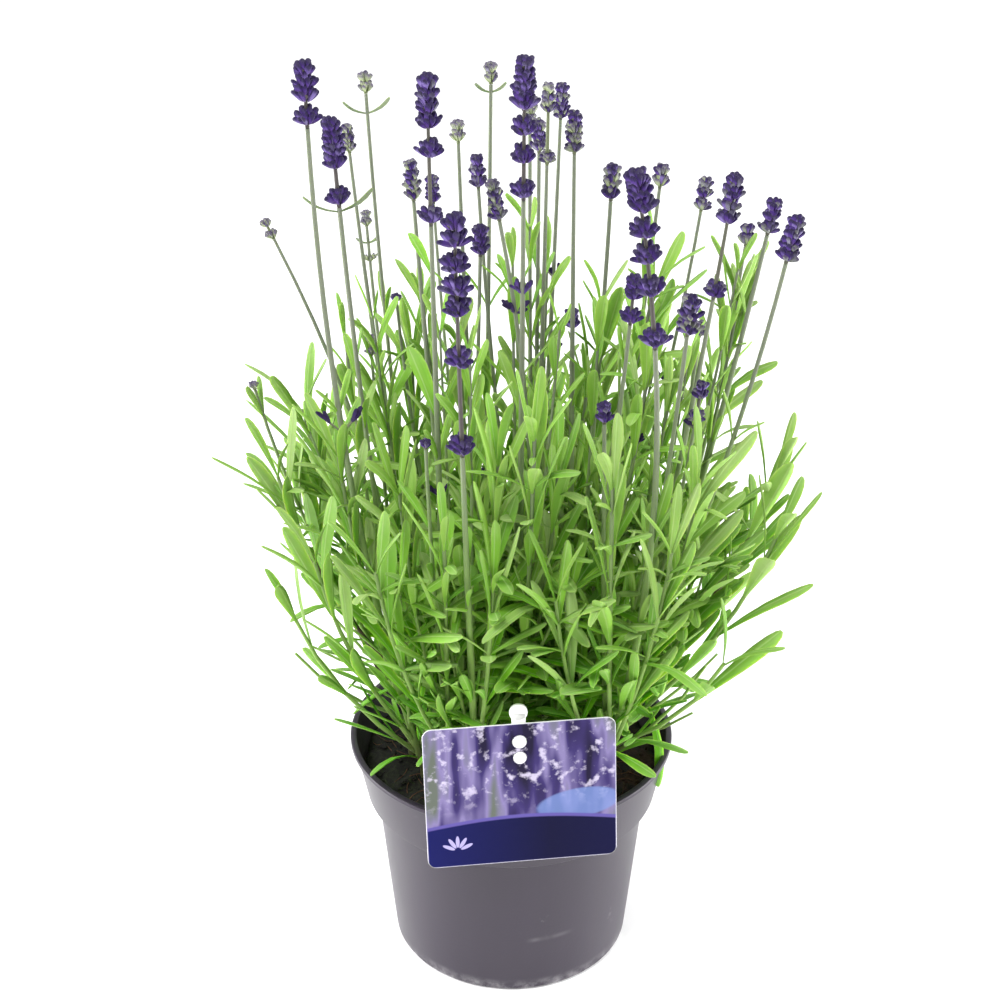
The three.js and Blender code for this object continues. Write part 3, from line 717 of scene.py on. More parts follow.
plantSet = {
    "soilTop": 94, "holeDepth": 12,
    # Leaves: how length and share vary, how they crowd to a tip, and how they shrink and flatten there
    "leafLength": 45, "leafShare": 0.17, "firstLeaf": {"leader": 12, "fork": 10},
    "lengthVaries": (0.85, 1.15), "shareVaries": (0.88, 1.18), "fewestPairs": 3, "crowding": 1.35,
    "stalkLess": 0.55, "shootSize": (0.8, 0.9, 0.1), "archLess": 0.6,
    "spacing": {"stalk": 34, "shoot": 18}, "open": {"stalk": 46, "shoot": 52}, "closing": 24, "varies": 14,
    "archLeast": 10, "archMore": 34, "azimuthVaries": 0.24, "rollVaries": 0.7,
    # A leaf's thirds, each with how far it has bent, and how much it may shorten and straighten for space
    "thirds": [(0.28, 0), (0.44, 0.45), (0.28, 1)],
    "shorter": (1, 0.82, 0.66, 0.5), "straighter": (1, 0.85, 0.7, 0.55, 0.4, 0.25),
    # The bush's outer form, the room that leaves keep, and how near to each other forking axes share it
    "crownAcross": 124, "crownDeep": 116, "crownLow": 78, "flare": 0.6, "lean": 0.3,
    "margin": 0.9, "siblingFork": 7, "tipRoom": 34, "footRoom": 4, "endRoom": 6, "headRoom": 3,
    "soilRoom": 3, "rimAside": 8, "rimAbove": 2,
    # Heights of the forks: the first, the step to the next, and what varies from stem to stem
    "stalkFork": (118, 21, 5), "shootFork": (126, -9, 4), "moreFork": (108, 20, 6),
    "moreRise": (90, 25, 40), "moreReaches": (28, 42, 56), "turnVaries": 0.6,
    "bow": {"leader": 0.3, "stalk": 0.45, "shoot": 0.5},
    "bractTurn": 0.25, "bractOpen": 1.3, "bractArch": -0.5, "bractWidth": 3.2, "bractKind": 0.75,
    "budReach": 6.4, "budRise": 3.4, "firstWhorl": 4, "denseStep": 4.6,
}

# Where a new shoot looks for space: its directions, the space that is enough, how wide it may end, what
# meeting the card costs, and the heights at which it is compared
roomSet = {"turns": 12, "enough": 24, "widest": 100, "cardCost": 50, "low": 12, "reach": 340, "step": 8}

# What counts as at the card: how far forward the peg and the card reach, and the room beside and above them;
# then where along a shoot this is tried, at how many points and with what margin
cardRoom = {
    "peg": -50, "card": -64, "aside": 2, "above": 8,
    "from": 14, "to": 180, "points": 7, "margin": 4,
}

# Shoots and tufts that fill the bush between the stalks and shoots of the solids
fillSet = {
    "rounds": 5, "fork": (100, 130), "rise": (22, 110), "reaches": (14, 28, 42, 56), "margin": 0.3,
    "low": 53, "lowLean": 7, "flare": 0.46, "ownPairs": 4,
    # Soil that stays in sight beside the card: most across, least and most depth, as the camera sees it
    "bare": [(-80, -34, -60, 16), (44, 80, -60, 6)], "bareStep": 3, "bareSteps": 3,
    "roll": 1, "tuft": (0.35, 0.65), "tuftLeast": 9, "tuftTop": 300, "tuftWidth": 0.19, "tuftTurn": 0.7,
    "tuftRise": (1, 4), "tuftOpen": (0.5, 1), "tuftArch": (0.2, 0.7), "tuftDeeper": 0.3,
    "skirtOpen": (30, 82), "skirtArch": (5, 60), "skirtLength": (26, 52), "skirtWidth": (0.12, 0.19),
    "skirtStep": (7, 15), "skirtFrom": 6, "skirtVaries": 0.6,
}

# Leafy shoots that stand among the flower stalks: each is its stem's number and its tip
spireSet = {
    "fork": (127.5, 172.5), "bow": 0.25, "leafy": 105, "step": (13, 21), "length": (22, 36),
    "width": (0.14, 0.24), "open": (16, 42), "arch": (-10, 30), "varies": 0.5, "roll": 1,
    "topInset": 2, "bareFoot": 12, "tipLength": 0.62, "fullLength": 0.4, "tipOpen": 0.6,
    "tips": [
        (8, (7, 10, 349)), (7, (0, 0, 337)), (2, (-59, 10, 310)), (11, (36, -10, 324)),
        (14, (94, 10, 331)), (12, (66, 30, 304)), (7, (19, -20, 315)), (4, (-30, -10, 311)),
        (0, (-69, -10, 307)), (5, (-17, -40, 314)), (11, (46, -20, 301)), (6, (-39, 20, 313)),
        (13, (73, -10, 302)), (8, (31, 20, 280)), (1, (-87, 0, 261)), (9, (15, 30, 327)),
        (6, (-24, 20, 313)), (10, (38, -52, 262)), (5, (-27, -64, 200)),
    ],
}

# Broad leaves that show one by one, by the axis: height, azimuth, length, share, opening and arch in degrees
broadLeaves = {
    8: [(345, 130, 20, 0.32, 40, 8), (284, 130, 32, 0.42, 32, 8)],
    12: [(287, 130, 25, 0.3, 38, 8)],
    10: [(319, 130, 23, 0.3, 40, 8), (317, 50, 13, 0.3, 36, 8)],
    1: [(290, 130, 24, 0.26, 14, 8), (147, 198, 27, 0.34, 92, 30)],
    4: [(267, 130, 20, 0.32, 36, 8)], 21: [(324, 130, 23, 0.3, 18, 8)],
    18: [(327, 130, 19, 0.3, 12, 8)], 30: [(281, 130, 32, 0.36, 50, 8)],
    64: [(305, 50, 27, 0.28, 12, 8)], 37: [(310, 130, 23, 0.28, 32, 8)],
    17: [(278, 130, 30, 0.26, 26, 8)], 9: [(247, 130, 24, 0.26, 46, 8)],
    59: [(273, 130, 31, 0.22, 26, 8)], 112: [(123, 205, 15, 0.5, 46, 20)],
    50: [(150, 165, 20, 0.3, 110, 12)], 94: [(133, -62, 46, 0.13, 100, 52)],
    3: [(179, 205, 28, 0.26, 58, 30), (158, 200, 25, 0.24, 46, 34)],
}

# Each stem: its foot in the soil, the flowers on its stalks, its shoots' tips, and how many more shoots.
# A flower is its tip, size, ripeness, dense whorls, depths of loose whorls, and what else it has.
stems = [
    ((-40, -18), [
        ((-76, -50, 431), 1, 1, 3, [21.5], {"bow": 1}),
        ((-70, -22, 403), 1, 1, 4, [32], {"bracts": 16, "below": 1.5}),
    ], [(-71, -40, 268), (-80, -64, 232), (-92, -42, 192)], 0),
    ((-47, 2), [
        ((-102, 4, 355), 0.6, 0.15, 1, [8], {"bow": 0, "sway": 16}),
        ((-108, -14, 291), 0.55, 0.1, 1, [], {"leafy": 0.92}),
        ((-61, 16, 300), 0.55, 0.2, 1, [8], {"leafy": 0.9}),
    ], [(-97, -34, 256), (-92, 22, 262), (-88, 2, 222)], 0),
    ((-36, 27), [
        ((-70, 44, 384), 0.7, 0.3, 3),
        ((-63, 62, 402), 0.75, 0.15, 2, [], {"bracts": 12, "below": 8}),
        ((-65, 66, 340), 0.6, 0.2, 2, [], {"bracts": 6, "below": 7}),
    ], [(-84, 44, 236), (-44, 34, 284)], 1),
    ((-28, -31), [
        ((-32, -44, 425), 1, 0.9, 3, [18.5, 29.5, 55]),
        ((-34, -72, 291), 0.6, 0.8, 1),
    ], [(-46, -50, 256), (-54, -84, 238), (-27, -80, 246)], 0),
    ((-19, -5), [
        ((-41, 0, 381), 0.75, 0.45, 4),
        ((-13, 0, 354), 0.85, 0.9, 2, [11]),
        ((-50, 24, 316), 0.6, 0.8, 1),
    ], [(-54, 8, 262)], 1),
    ((-15, -46), [
        ((-21, -104, 390), 1.1, 1, 1, [10, 19.5, 28.5, 37, 58, 96]),
    ], [(-6, -66, 276), (-8, -77, 226)], 0),
    ((-12, 32), [
        ((-23, 40, 387), 0.8, 0.2, 2),
        ((-36, 84, 351), 0.75, 0.8, 3),
        ((-9, 62, 406), 0.75, 0.2, 2, [], {"bracts": 8, "below": 3}),
    ], [], 3),
    ((3, -20), [
        ((4, -30, 428), 1.05, 1, 4, [27.5, 38.5, 52]),
        ((-9, -15, 377), 0.75, 0.55, 4, [], {"sway": 12}),
    ], [(18, -56, 268), (8, -76, 292)], 0),
    ((9, 8), [
        ((14, 2, 411), 0.7, 0.3, 3, [31]),
        ((-15, 22, 377), 0.8, 0.75, 2, [12]),
        ((11, 26, 390), 0.75, 0.6, 3),
    ], [], 2),
    ((9, 38), [
        ((21, 54, 399), 0.75, 0.7, 3, [13.5]),
        ((8, 80, 388), 0.8, 0.3, 3),
        ((2, 58, 299), 0.8, 0.9, 2),
    ], [], 3),
    ((36, -40), [
        ((41, -98, 404), 1.1, 1, 2, [14, 23.5, 33.5, 47, 68], {"sway": 16}),
        ((35, -66, 304), 0.75, 0.9, 2),
    ], [(38, -82, 274), (62, -82, 246), (17, -78, 222)], 0),
    ((27, -12), [
        ((24, -6, 402), 0.8, 0.5, 3, [15]),
        ((47, -42, 347), 0.9, 1, 2, [18.5]),
        ((41, 16, 375), 0.9, 0.6, 2, [13]),
    ], [(55, -26, 300)], 1),
    ((31, 22), [
        ((64, 44, 367), 0.85, 0.6, 2),
        ((28, 78, 290), 0.85, 0.9, 2),
        ((84, 52, 359), 0.8, 0.5, 2, [13]),
    ], [(84, 40, 252)], 2),
    ((43, -19), [
        ((86, -24, 382), 0.95, 0.8, 3, [18.5, 49]),
        ((67, -62, 346), 1, 0.6, 2, [14]),
        ((109, -36, 369), 0.9, 0.8, 3, [17]),
        ((74, -52, 307), 0.7, 0.8, 2, [17], {"leafy": 0.8}),
    ], [(72, -72, 268), (108, -50, 236), (88, -64, 184)], 0),
    ((49, 6), [
        ((107, 6, 363), 0.85, 0.8, 2, [13]),
        ((79, 4, 311), 0.6, 0.4, 2),
        ((101, 34, 344), 0.8, 0.6, 2),
    ], [(96, 18, 314), (112, -18, 250), (106, 4, 206)], 0),
]


class Flower:
    # The length of the bracts on its stalk and how far below the head they are, and the stalk's bow, its sway
    # and the share of it that has leaves
    bracts, below, bow, sway, leafy = 0, 0, None, 0, 0.62

    def __init__(self, tip, size, ripe, dense, loose=(), extra=()):
        self.tip = Vector(tip)
        self.size = size
        self.ripe = ripe
        self.loose = loose
        vars(self).update(extra)
        scale = min(1, size + 0.1)
        depths = [plantSet["firstWhorl"] + plantSet["denseStep"] * i for i in range(dense)]
        self.whorls = [*(depth * scale for depth in depths), *loose]
        self.depth = max(self.whorls) + (plantSet["budRise"] + 1) * size


class Axis:
    # A stem known by height: it leaves its start, bows outwards and ends at its tip
    def __init__(self, stem, start, end, bow, sway, leafTop, flower=None, leader=False):
        self.stem, self.start, self.end = stem, start, end
        self.bow, self.sway, self.leafTop = bow, sway, leafTop
        self.flower, self.leader = flower, leader

    def pointAt(self, z):
        u = max(0, (z - self.start.z) / (self.end.z - self.start.z))
        share = u + self.bow * u * (1 - u) if u < 1 else 1 + (u - 1) * (1 - self.bow)
        across = self.sway * 4 * (u * (1 - u) if u < 1 else 1 - u)
        x = self.start.x + (self.end.x - self.start.x) * share + across
        y = self.start.y + (self.end.y - self.start.y) * share
        return Vector((x, y, z))

    def directionAt(self, z):
        return (self.pointAt(z + 2) - self.pointAt(z - 2)).normalized()


def headRoom(axis):
    # The height from which a head takes up space, and how wide it is
    if axis.flower:
        low = axis.end.z - axis.flower.depth - plantSet["headRoom"]
        return low, plantSet["budReach"] * axis.flower.size
    return math.inf, 0


class Space:
    # Every axis as arrays, to ask quickly whose space a point is in
    def __init__(self, grown):
        for name in ("start", "end", "bow", "sway", "stem"):
            setattr(self, name, np.array([getattr(axis, name) for axis in grown]))
        self.isFlower = np.array([axis.flower is not None for axis in grown])
        self.headLow, self.headWide = np.array([headRoom(axis) for axis in grown]).T

    def lines(self, z):
        # Each axis's points at the heights in its row of z
        u = np.maximum(0, (z - self.start[:, 2:3]) / (self.end[:, 2:3] - self.start[:, 2:3]))
        bow = self.bow[:, None]
        share = np.where(u < 1, u + bow * u * (1 - u), 1 + (u - 1) * (1 - bow))
        found = self.start[:, None, :2] + (self.end - self.start)[:, None, :2] * share[:, :, None]
        found[:, :, 0] += self.sway[:, None] * 4 * np.where(u < 1, u * (1 - u), 1 - u)
        return found

    def clearance(self, axis):
        # Nearest that an axis comes to any other at heights that both reach
        low = np.maximum(self.start[:, 2], axis.start.z) + roomSet["low"]
        z = low[:, None] + np.arange(0, roomSet["reach"], roomSet["step"])[None, :]
        both = z <= np.minimum(self.end[:, 2], axis.end.z)[:, None]
        gaps = np.linalg.norm(self.lines(z) - Space([axis]).lines(z), axis=2)
        return np.where(both, gaps, np.inf).min()

    def isOwn(self, point, own, margin):
        centres = self.lines(point.z)[:, 0]
        away = np.hypot(centres[:, 0] - point.x, centres[:, 1] - point.y)
        middle = centres[own.number]
        low = self.start[:, 2] - plantSet["footRoom"]
        high = self.end[:, 2] + np.where(self.isFlower, 0, plantSet["tipRoom"]) + plantSet["endRoom"]
        near = (point.z >= low) & (point.z <= high)
        near[own.number] = False
        if (near & (point.z > self.headLow) & (away < self.headWide + margin + plantSet["headRoom"])).any():
            return False
        sibling = self.stem == own.stem
        forked = np.hypot(centres[:, 0] - middle[0], centres[:, 1] - middle[1]) < plantSet["siblingFork"]
        clear = (sibling & forked) | (away[own.number] + np.where(sibling, 0, margin) < away)
        return bool((clear | ~near).all())


def isAtCard(point, margin):
    turn = math.radians(cardSet["turn"])
    x = point.x * math.cos(turn) + point.y * math.sin(turn)
    y = point.y * math.cos(turn) - point.x * math.sin(turn)
    aside = abs(x - cardSet["across"]) - margin
    isByPeg = y < cardRoom["peg"] and aside < pegSet["width"]
    isByCard = y < cardRoom["card"] and aside < cardSet["width"] / 2 + cardRoom["aside"]
    top = cardSet["up"] + cardSet["height"] / 2 + cardRoom["above"] + margin
    return point.z < top and (isByPeg or isByCard)


def stalkAxes():
    low, step, varies = plantSet["stalkFork"]
    grown = []
    for s, (place, flowers, *_) in enumerate(stems):
        foot = Vector((*place, plantSet["soilTop"] + 4))
        leader = None
        for f, row in enumerate(flowers):
            flower = Flower(*row)
            fork = low + step * (f - 1) + s % 3 * varies if leader else foot.z
            start = leader.pointAt(fork) if leader else foot
            bow = plantSet["bow"]["stalk" if leader else "leader"] if flower.bow is None else flower.bow
            leafTop = fork + (flower.tip.z - flower.depth - fork) * flower.leafy
            axis = Axis(s, start, flower.tip, bow, flower.sway, leafTop, flower, leader is None)
            leader = leader or axis
            grown.append(axis)
    return grown


def shootAxis(stem, start, end):
    return Axis(stem, start, end, plantSet["bow"]["shoot"], 0, end.z - 1)


def meetsCard(axis):
    low, count = axis.start.z + cardRoom["from"], cardRoom["points"]
    heights = [low + (cardRoom["to"] - low) * i / (count - 1) for i in range(count)]
    return any(isAtCard(axis.pointAt(z), cardRoom["margin"]) for z in heights)


def widestShoot(grown, s, start, rise, reaches):
    # The shoot that ends where there is most space
    space = Space(grown)

    def room(shoot):
        tooWide = max(0, math.hypot(shoot.end.x, shoot.end.y) - roomSet["widest"])
        cost = roomSet["cardCost"] if meetsCard(shoot) else 0
        return min(space.clearance(shoot), roomSet["enough"]) - tooWide - cost

    turns = [math.tau * k / roomSet["turns"] for k in range(roomSet["turns"])]
    ends = [start + atAngle(turn, reach, rise) for reach in reaches for turn in turns]
    return max([shootAxis(s, start, end) for end in ends], key=room)


def ofStem(grown, s):
    return [axis for axis in grown if axis.stem == s]


def allAxes():
    grown = stalkAxes()
    leaders = [ofStem(grown, s)[0] for s in range(len(stems))]
    low, step, varies = plantSet["shootFork"]
    for s, (_, _, shoots, _) in enumerate(stems):
        for i, tip in enumerate(shoots):
            grown.append(shootAxis(s, leaders[s].pointAt(low + step * i + s % 3 * varies), Vector(tip)))
    low, step, varies = plantSet["moreFork"]
    least, more, most = plantSet["moreRise"]
    for s, (*_, count) in enumerate(stems):
        random = draws(seeds["moreShoots"] + s)
        for i in range(count):
            start = leaders[s].pointAt(low + step * i + varies * random())
            rise = least + more * i + most * random()
            grown.append(widestShoot(grown, s, start, rise, plantSet["moreReaches"]))
    for i, axis in enumerate(grown):
        outward = math.atan2(axis.end.y - axis.start.y, axis.end.x - axis.start.x)
        axis.turn = outward + swing(plantSet["turnVaries"], draws(i + 1))
        axis.number = i
    return grown


def fillShoots(grown):
    # Low inner shoots that only the dressed plant has, each where there is most space
    added = []
    for i in range(fillSet["rounds"]):
        for s in range(len(stems)):
            random = draws(seeds["fillShoots"] + 40 * i + s)
            start = ofStem(grown, s)[0].pointAt(within(fillSet["fork"], random))
            rise = within(fillSet["rise"], random)
            shoot = widestShoot(grown + added, s, start, rise, fillSet["reaches"])
            outward = math.atan2(shoot.end.y - start.y, shoot.end.x - start.x)
            shoot.turn = outward + swing(plantSet["turnVaries"], random)
            shoot.number = len(grown) + len(added)
            added.append(shoot)
    return added


axes = allAxes()
fillAxes = fillShoots(axes)
plantSpace = Space(axes)
print("axes grown:", len(axes), "and", len(fillAxes), "more")


def isOverBareSoil(point):
    # True where a point would hide soil that shows in the photograph
    camera = Vector(cameraSet["place"]) / mm
    seen = camera + (point - camera) * (camera.z - plantSet["soilTop"]) / (camera.z - point.z)
    return any(
        left < seen.x < right and front < seen.y < back for left, right, front, back in fillSet["bare"]
    )


def isClear(point, own, margin, space):
    # Off the pot, the card and the soil, inside the crown, and in its own axis's space if there is one
    radius = math.hypot(point.x, point.y)
    low = plantSet["soilTop"] + plantSet["soilRoom"] + margin
    isAtRim = point.z < potSet["height"] + plantSet["rimAbove"] + margin
    isAtRim = isAtRim and radius > potSet["collarFoot"][0] - plantSet["rimAside"]
    if point.z < low or isAtRim or isAtCard(point, margin):
        return False
    if abs(point.x) > plantSet["crownAcross"] or abs(point.y) > plantSet["crownDeep"]:
        return False
    flare = plantSet["flare"] + plantSet["lean"] * point.x / radius
    if radius > plantSet["crownLow"] + flare * (point.z - potSet["height"]):
        return False
    if space:
        return space.isOwn(point, own, margin)
    widest = fillSet["low"] + fillSet["lowLean"] * point.x / radius
    widest += fillSet["flare"] * (point.z - potSet["height"])
    return radius < widest and not isOverBareSoil(point)


class Leaf:
    # One leaf: where it roots, the way it opens and arches, its length and half width
    def __init__(self, axis, z, azimuth, length, width, opens, arch, roll, age):
        self.root = axis.pointAt(z)
        self.up = axis.directionAt(z)
        self.out = squared(atAngle(azimuth), self.up)
        self.across = Matrix.Rotation(roll, 3, self.out) @ self.up.cross(self.out).normalized()
        self.length, self.width = length, width
        self.opens, self.arch, self.age = opens, arch, age
        self.fit(1, 1)

    def fit(self, short, bend):
        self.now = self.length * short
        self.half = self.now * self.width / 2
        self.angle = self.opens * bend
        self.turned = self.arch * bend

    def step(self, bent, share):
        angle = self.angle + self.turned * bent
        return (self.up * math.cos(angle) + self.out * math.sin(angle)) * self.now * share

    def probes(self):
        # The points that have to be clear: the leaf's corners and the middles between them
        at = self.root
        for i, (share, bent) in enumerate(plantSet["thirds"]):
            ahead = at + self.step(bent, share)
            yield ahead, 0 if i == 2 else self.half
            yield (at + ahead) / 2, self.half * 0.8
            at = ahead

    def clear(self, axis, margin, space):
        for short in plantSet["shorter"]:
            for bend in plantSet["straighter"]:
                self.fit(short, bend)
                if all(
                    isClear(point + self.across * wide * side, axis, margin, space)
                    for point, wide in self.probes() for side in (-1, 0, 1)
                ):
                    return True
        return False


def leafPlaces(axis):
    # Crossed pairs, close together at a shoot's tip, smaller and more upright there
    random = draws(seeds["leafPlaces"] + axis.number)
    first = plantSet["firstLeaf"]
    low = plantSet["soilTop"] + first["leader"] if axis.leader else axis.start.z + first["fork"]
    length = axis.leafTop - low
    kind = "stalk" if axis.flower else "shoot"
    pairs = max(plantSet["fewestPairs"], math.floor(length / plantSet["spacing"][kind] + 0.5))
    least, more, less = plantSet["shootSize"]
    found = []
    for k in range(pairs):
        v = k / (pairs - 1)
        up = v if axis.flower else 1 - (1 - v) ** plantSet["crowding"]
        size = 1 - plantSet["stalkLess"] * v * v if axis.flower else least + more * v * (1 - v) - less * v * v
        for side in range(2):
            azimuth = axis.turn + k * math.pi / 2 + side * math.pi + swing(plantSet["azimuthVaries"], random)
            long = plantSet["leafLength"] * size * within(plantSet["lengthVaries"], random)
            width = plantSet["leafShare"] * within(plantSet["shareVaries"], random)
            opens = plantSet["open"][kind] - plantSet["closing"] * v + swing(plantSet["varies"], random)
            arch = plantSet["archLeast"] + plantSet["archMore"] * random() * (1 - plantSet["archLess"] * v)
            opens, arch = math.radians(opens), math.radians(arch)
            roll = swing(plantSet["rollVaries"], random)
            found.append(Leaf(axis, low + length * up, azimuth, long, width, opens, arch, roll, v))
    return found


def tufts(axis, random):
    # Young leaves in the angle of each pair, turned across it, longer and wider open lower down
    top = fillSet["tuftTop"]
    for leaf in leafPlaces(axis)[::2]:
        deep = min(1, max(0, (top - leaf.root.z) / top * 2))
        for side in (-1, 1):
            aside = math.pi / 2 + swing(fillSet["tuftTurn"], random)
            azimuth = math.atan2(leaf.out.y, leaf.out.x) + side * aside
            length = leaf.length * (within(fillSet["tuft"], random) + fillSet["tuftDeeper"] * deep)
            z = leaf.root.z + within(fillSet["tuftRise"], random)
            opens = within(fillSet["tuftOpen"], random) + fillSet["tuftDeeper"] * deep
            if length > fillSet["tuftLeast"] and z < axis.leafTop:
                arch, roll = within(fillSet["tuftArch"], random), swing(fillSet["roll"], random)
                yield Leaf(axis, z, azimuth, length, fillSet["tuftWidth"], opens, arch, roll, leaf.age)


def skirts(axis, random):
    # Wide, arching leaves along a low inner shoot
    z = axis.start.z + fillSet["skirtFrom"]
    turn = math.tau * random()
    while z < axis.end.z:
        for side in range(2):
            azimuth = turn + side * math.pi + swing(fillSet["skirtVaries"], random)
            opens, arch = (math.radians(within(fillSet[name], random)) for name in ("skirtOpen", "skirtArch"))
            length, width = (within(fillSet[name], random) for name in ("skirtLength", "skirtWidth"))
            yield Leaf(axis, z, azimuth, length, width, opens, arch, swing(fillSet["roll"], random), 0)
        z += within(fillSet["skirtStep"], random)
        turn += math.pi / 2


def spires(index):
    found = []
    for number, (stem, tip) in enumerate(spireSet["tips"]):
        if stem == index:
            random = draws(seeds["spires"] + number)
            start = ofStem(axes, stem)[0].pointAt(within(spireSet["fork"], random))
            axis = Axis(stem, start, Vector(tip), spireSet["bow"], 0, tip[2])
            axis.turn = math.tau * random()
            found.append(axis)
    return found


def spireLeaves(axis, random):
    # Upright pairs down from the tip, smaller at the top
    z = axis.end.z - spireSet["topInset"]
    turn = axis.turn
    while z > max(axis.start.z + spireSet["bareFoot"], axis.end.z - spireSet["leafy"]):
        low = (axis.end.z - z) / spireSet["leafy"]
        least, full = spireSet["tipLength"], min(1, low / spireSet["fullLength"])
        for side in range(2):
            azimuth = turn + side * math.pi + swing(spireSet["varies"], random)
            length = within(spireSet["length"], random) * (least + (1 - least) * full)
            opens = math.radians(within(spireSet["open"], random)) * spireSet["tipOpen"] * (1 + low)
            arch = math.radians(within(spireSet["arch"], random))
            width = within(spireSet["width"], random)
            roll = swing(spireSet["roll"], random)
            yield Leaf(axis, z, azimuth, length, width, opens, arch, roll, 1 - low)
        z -= within(spireSet["step"], random)
        turn += math.pi / 2


# Leaf, stem and bud shapes

leafSet = {
    "stations": [0, 0.13, 0.32, 0.54, 0.74, 0.88, 0.965, 1],
    "widths": [0.2, 0.36, 0.64, 0.9, 1, 0.86, 0.56, 0.2],
    "broad": 1.02, "thick": 5.2, "thickShare": 1.15, "sway": 0.1, "twist": 0.5,
    # The UV map's U runs from 0 to 1 across the upper face, and further on across the underside
    "underside": 1.5,
    # Across and height: right margin, crest, midrib's groove, crest, left margin, keel
    "section": [(1, -0.1), (0.55, 0.08), (0, 0), (-0.55, 0.08), (-1, -0.1), (0, -0.17)],
    "uvAcross": [1, 0.775, 0.5, 0.225, 0, 0.5],
}


def leafShape():
    count = len(leafSet["section"])
    bm = column(count, len(leafSet["stations"]))
    keel = count - 1

    def place(face, corner, station):
        isUnder = any(ringOf(vertex, count)[0] == keel for vertex in face.verts)
        u = leafSet["uvAcross"][corner] + (leafSet["underside"] if isUnder else 0)
        return u, leafSet["stations"][station]

    unwrap(bm, count, place)
    for edge in bm.edges:
        corners = {ringOf(vertex, count)[0] for vertex in edge.verts}
        if corners in ({0}, {keel - 1}):
            edge.smooth = False
    for vertex in bm.verts:
        corner, station = ringOf(vertex, count)
        across, height = leafSet["section"][corner]
        wide = leafSet["widths"][station]
        vertex.co = (across * wide, height * (0.4 + 0.6 * wide), leafSet["stations"][station])
    return kept(bm, "leafShape")


def leafCurve(leaf, sway):
    # The leaf's middle line and frame at each station, bending smoothly from its root to its tip
    at = leaf.root.copy()
    frames = {}
    before = 0
    for station in leafSet["stations"]:
        middle = (before + station) / 2
        bent = 0.5 - 0.5 * math.cos(math.pi * min(1, max(0, (middle - 0.1) / 0.8)))
        at = at + leaf.step(bent, station - before)
        angle = leaf.angle + leaf.turned * bent
        along = leaf.up * math.cos(angle) + leaf.out * math.sin(angle)
        face = along.cross(leaf.across).normalized()
        frames[round(station, 4)] = (at + leaf.across * sway * leaf.now * station * station, face)
        before = station
    return frames


def addLeaf(bm, leaf, random, shape, kind=0):
    frames = leafCurve(leaf, swing(leafSet["sway"], random))
    twist = swing(leafSet["twist"], random)

    def place(x, y, z):
        middle, face = frames[round(z, 4)]
        turn = twist * z
        across = leaf.across * math.cos(turn) + face * math.sin(turn)
        upper = face * math.cos(turn) - leaf.across * math.sin(turn)
        deep = max(leaf.half * leafSet["thickShare"], leafSet["thick"])
        return middle + across * x * leaf.half * leafSet["broad"] + upper * y * deep

    stamp(bm, shape, place, {"tint": random(), "age": leaf.age, "kind": kind})


def addLeaves(bm, axis, leaves, margin, space, random, shape):
    # Those of the leaves that have a clear place
    for leaf in leaves:
        if leaf.clear(axis, margin, space):
            addLeaf(bm, leaf, random, shape)


stemSet = {
    "foot": 2, "stalk": 0.95, "shoot": 0.8, "join": 0.2, "square": 0.86, "sides": 8, "step": 16,
    "spireTip": 0.7, "fillTip": 0.8,
    # Bare dark stems at the bush's edges, by the axis
    "woody": (43, 45, 35, 65),
}


def addStem(bm, axis, low, high, thick, thin, marks):
    rings = max(4, round((high - low) / stemSet["step"]))
    sides = stemSet["sides"]
    tube = column(sides, rings)
    unwrap(tube, sides, lambda face, corner, ring: (corner / sides, ring / (rings - 1)))

    def place(x, y, z):
        height = low + (high - low) * z / (rings - 1)
        corner = round(math.atan2(y, x) / math.tau * sides)
        radius = thick + (thin - thick) * z / (rings - 1)
        radius = radius * (stemSet["square"] if corner % 2 else 1)
        angle = math.atan2(y, x) + axis.turn
        up = axis.directionAt(height)
        first = squared(Vector((1, 0, 0)), up)
        out = first * math.cos(angle) + up.cross(first) * math.sin(angle)
        return axis.pointAt(height) + out * radius

    stamp(bm, kept(tube, "tube"), place, marks)


def addShoot(bm, axis, tip, random):
    thick = stemSet["shoot"] + stemSet["join"]
    marks = {"tint": random(), "age": 0, "kind": 1}
    addStem(bm, axis, axis.start.z, axis.end.z, thick, stemSet["shoot"] * tip, marks)


def headBase(axis):
    return axis.end.z - axis.flower.depth * axis.directionAt(axis.end.z).z


def addAxis(bm, axis, random, shape):
    # A stalk or shoot of the solids with its leaves and bracts
    top = headBase(axis) if axis.flower else axis.end.z
    low = plantSet["soilTop"] - plantSet["holeDepth"] + 1 if axis.leader else axis.start.z
    thick = stemSet["foot"] if axis.leader else stemSet["stalk"] + stemSet["join"]
    thin = stemSet["stalk"] * (0.4 + 0.6 * min(1, axis.flower.size)) if axis.flower else stemSet["shoot"]
    kind = 2 if axis.number in stemSet["woody"] else 1
    addStem(bm, axis, low, top, thick, thin, {"tint": random(), "age": 0, "kind": kind})
    addLeaves(bm, axis, leafPlaces(axis), plantSet["margin"], plantSpace, random, shape)
    if axis.flower and axis.flower.bracts:
        long = axis.flower.bracts
        for side in range(2):
            azimuth = plantSet["bractTurn"] + side * math.pi
            share, opens = plantSet["bractWidth"] / long, plantSet["bractOpen"]
            z, arch = top - axis.flower.below, plantSet["bractArch"]
            bract = Leaf(axis, z, azimuth, long, share, opens, arch, 0, 1)
            addLeaf(bm, bract, random, shape, plantSet["bractKind"])


def hidesSoil(axis):
    # Whether a shoot's own stem would cross the soil that stays in sight
    heights = range(int(axis.start.z), int(axis.end.z), fillSet["bareStep"])
    return sum(isOverBareSoil(axis.pointAt(z)) for z in heights) > fillSet["bareSteps"]


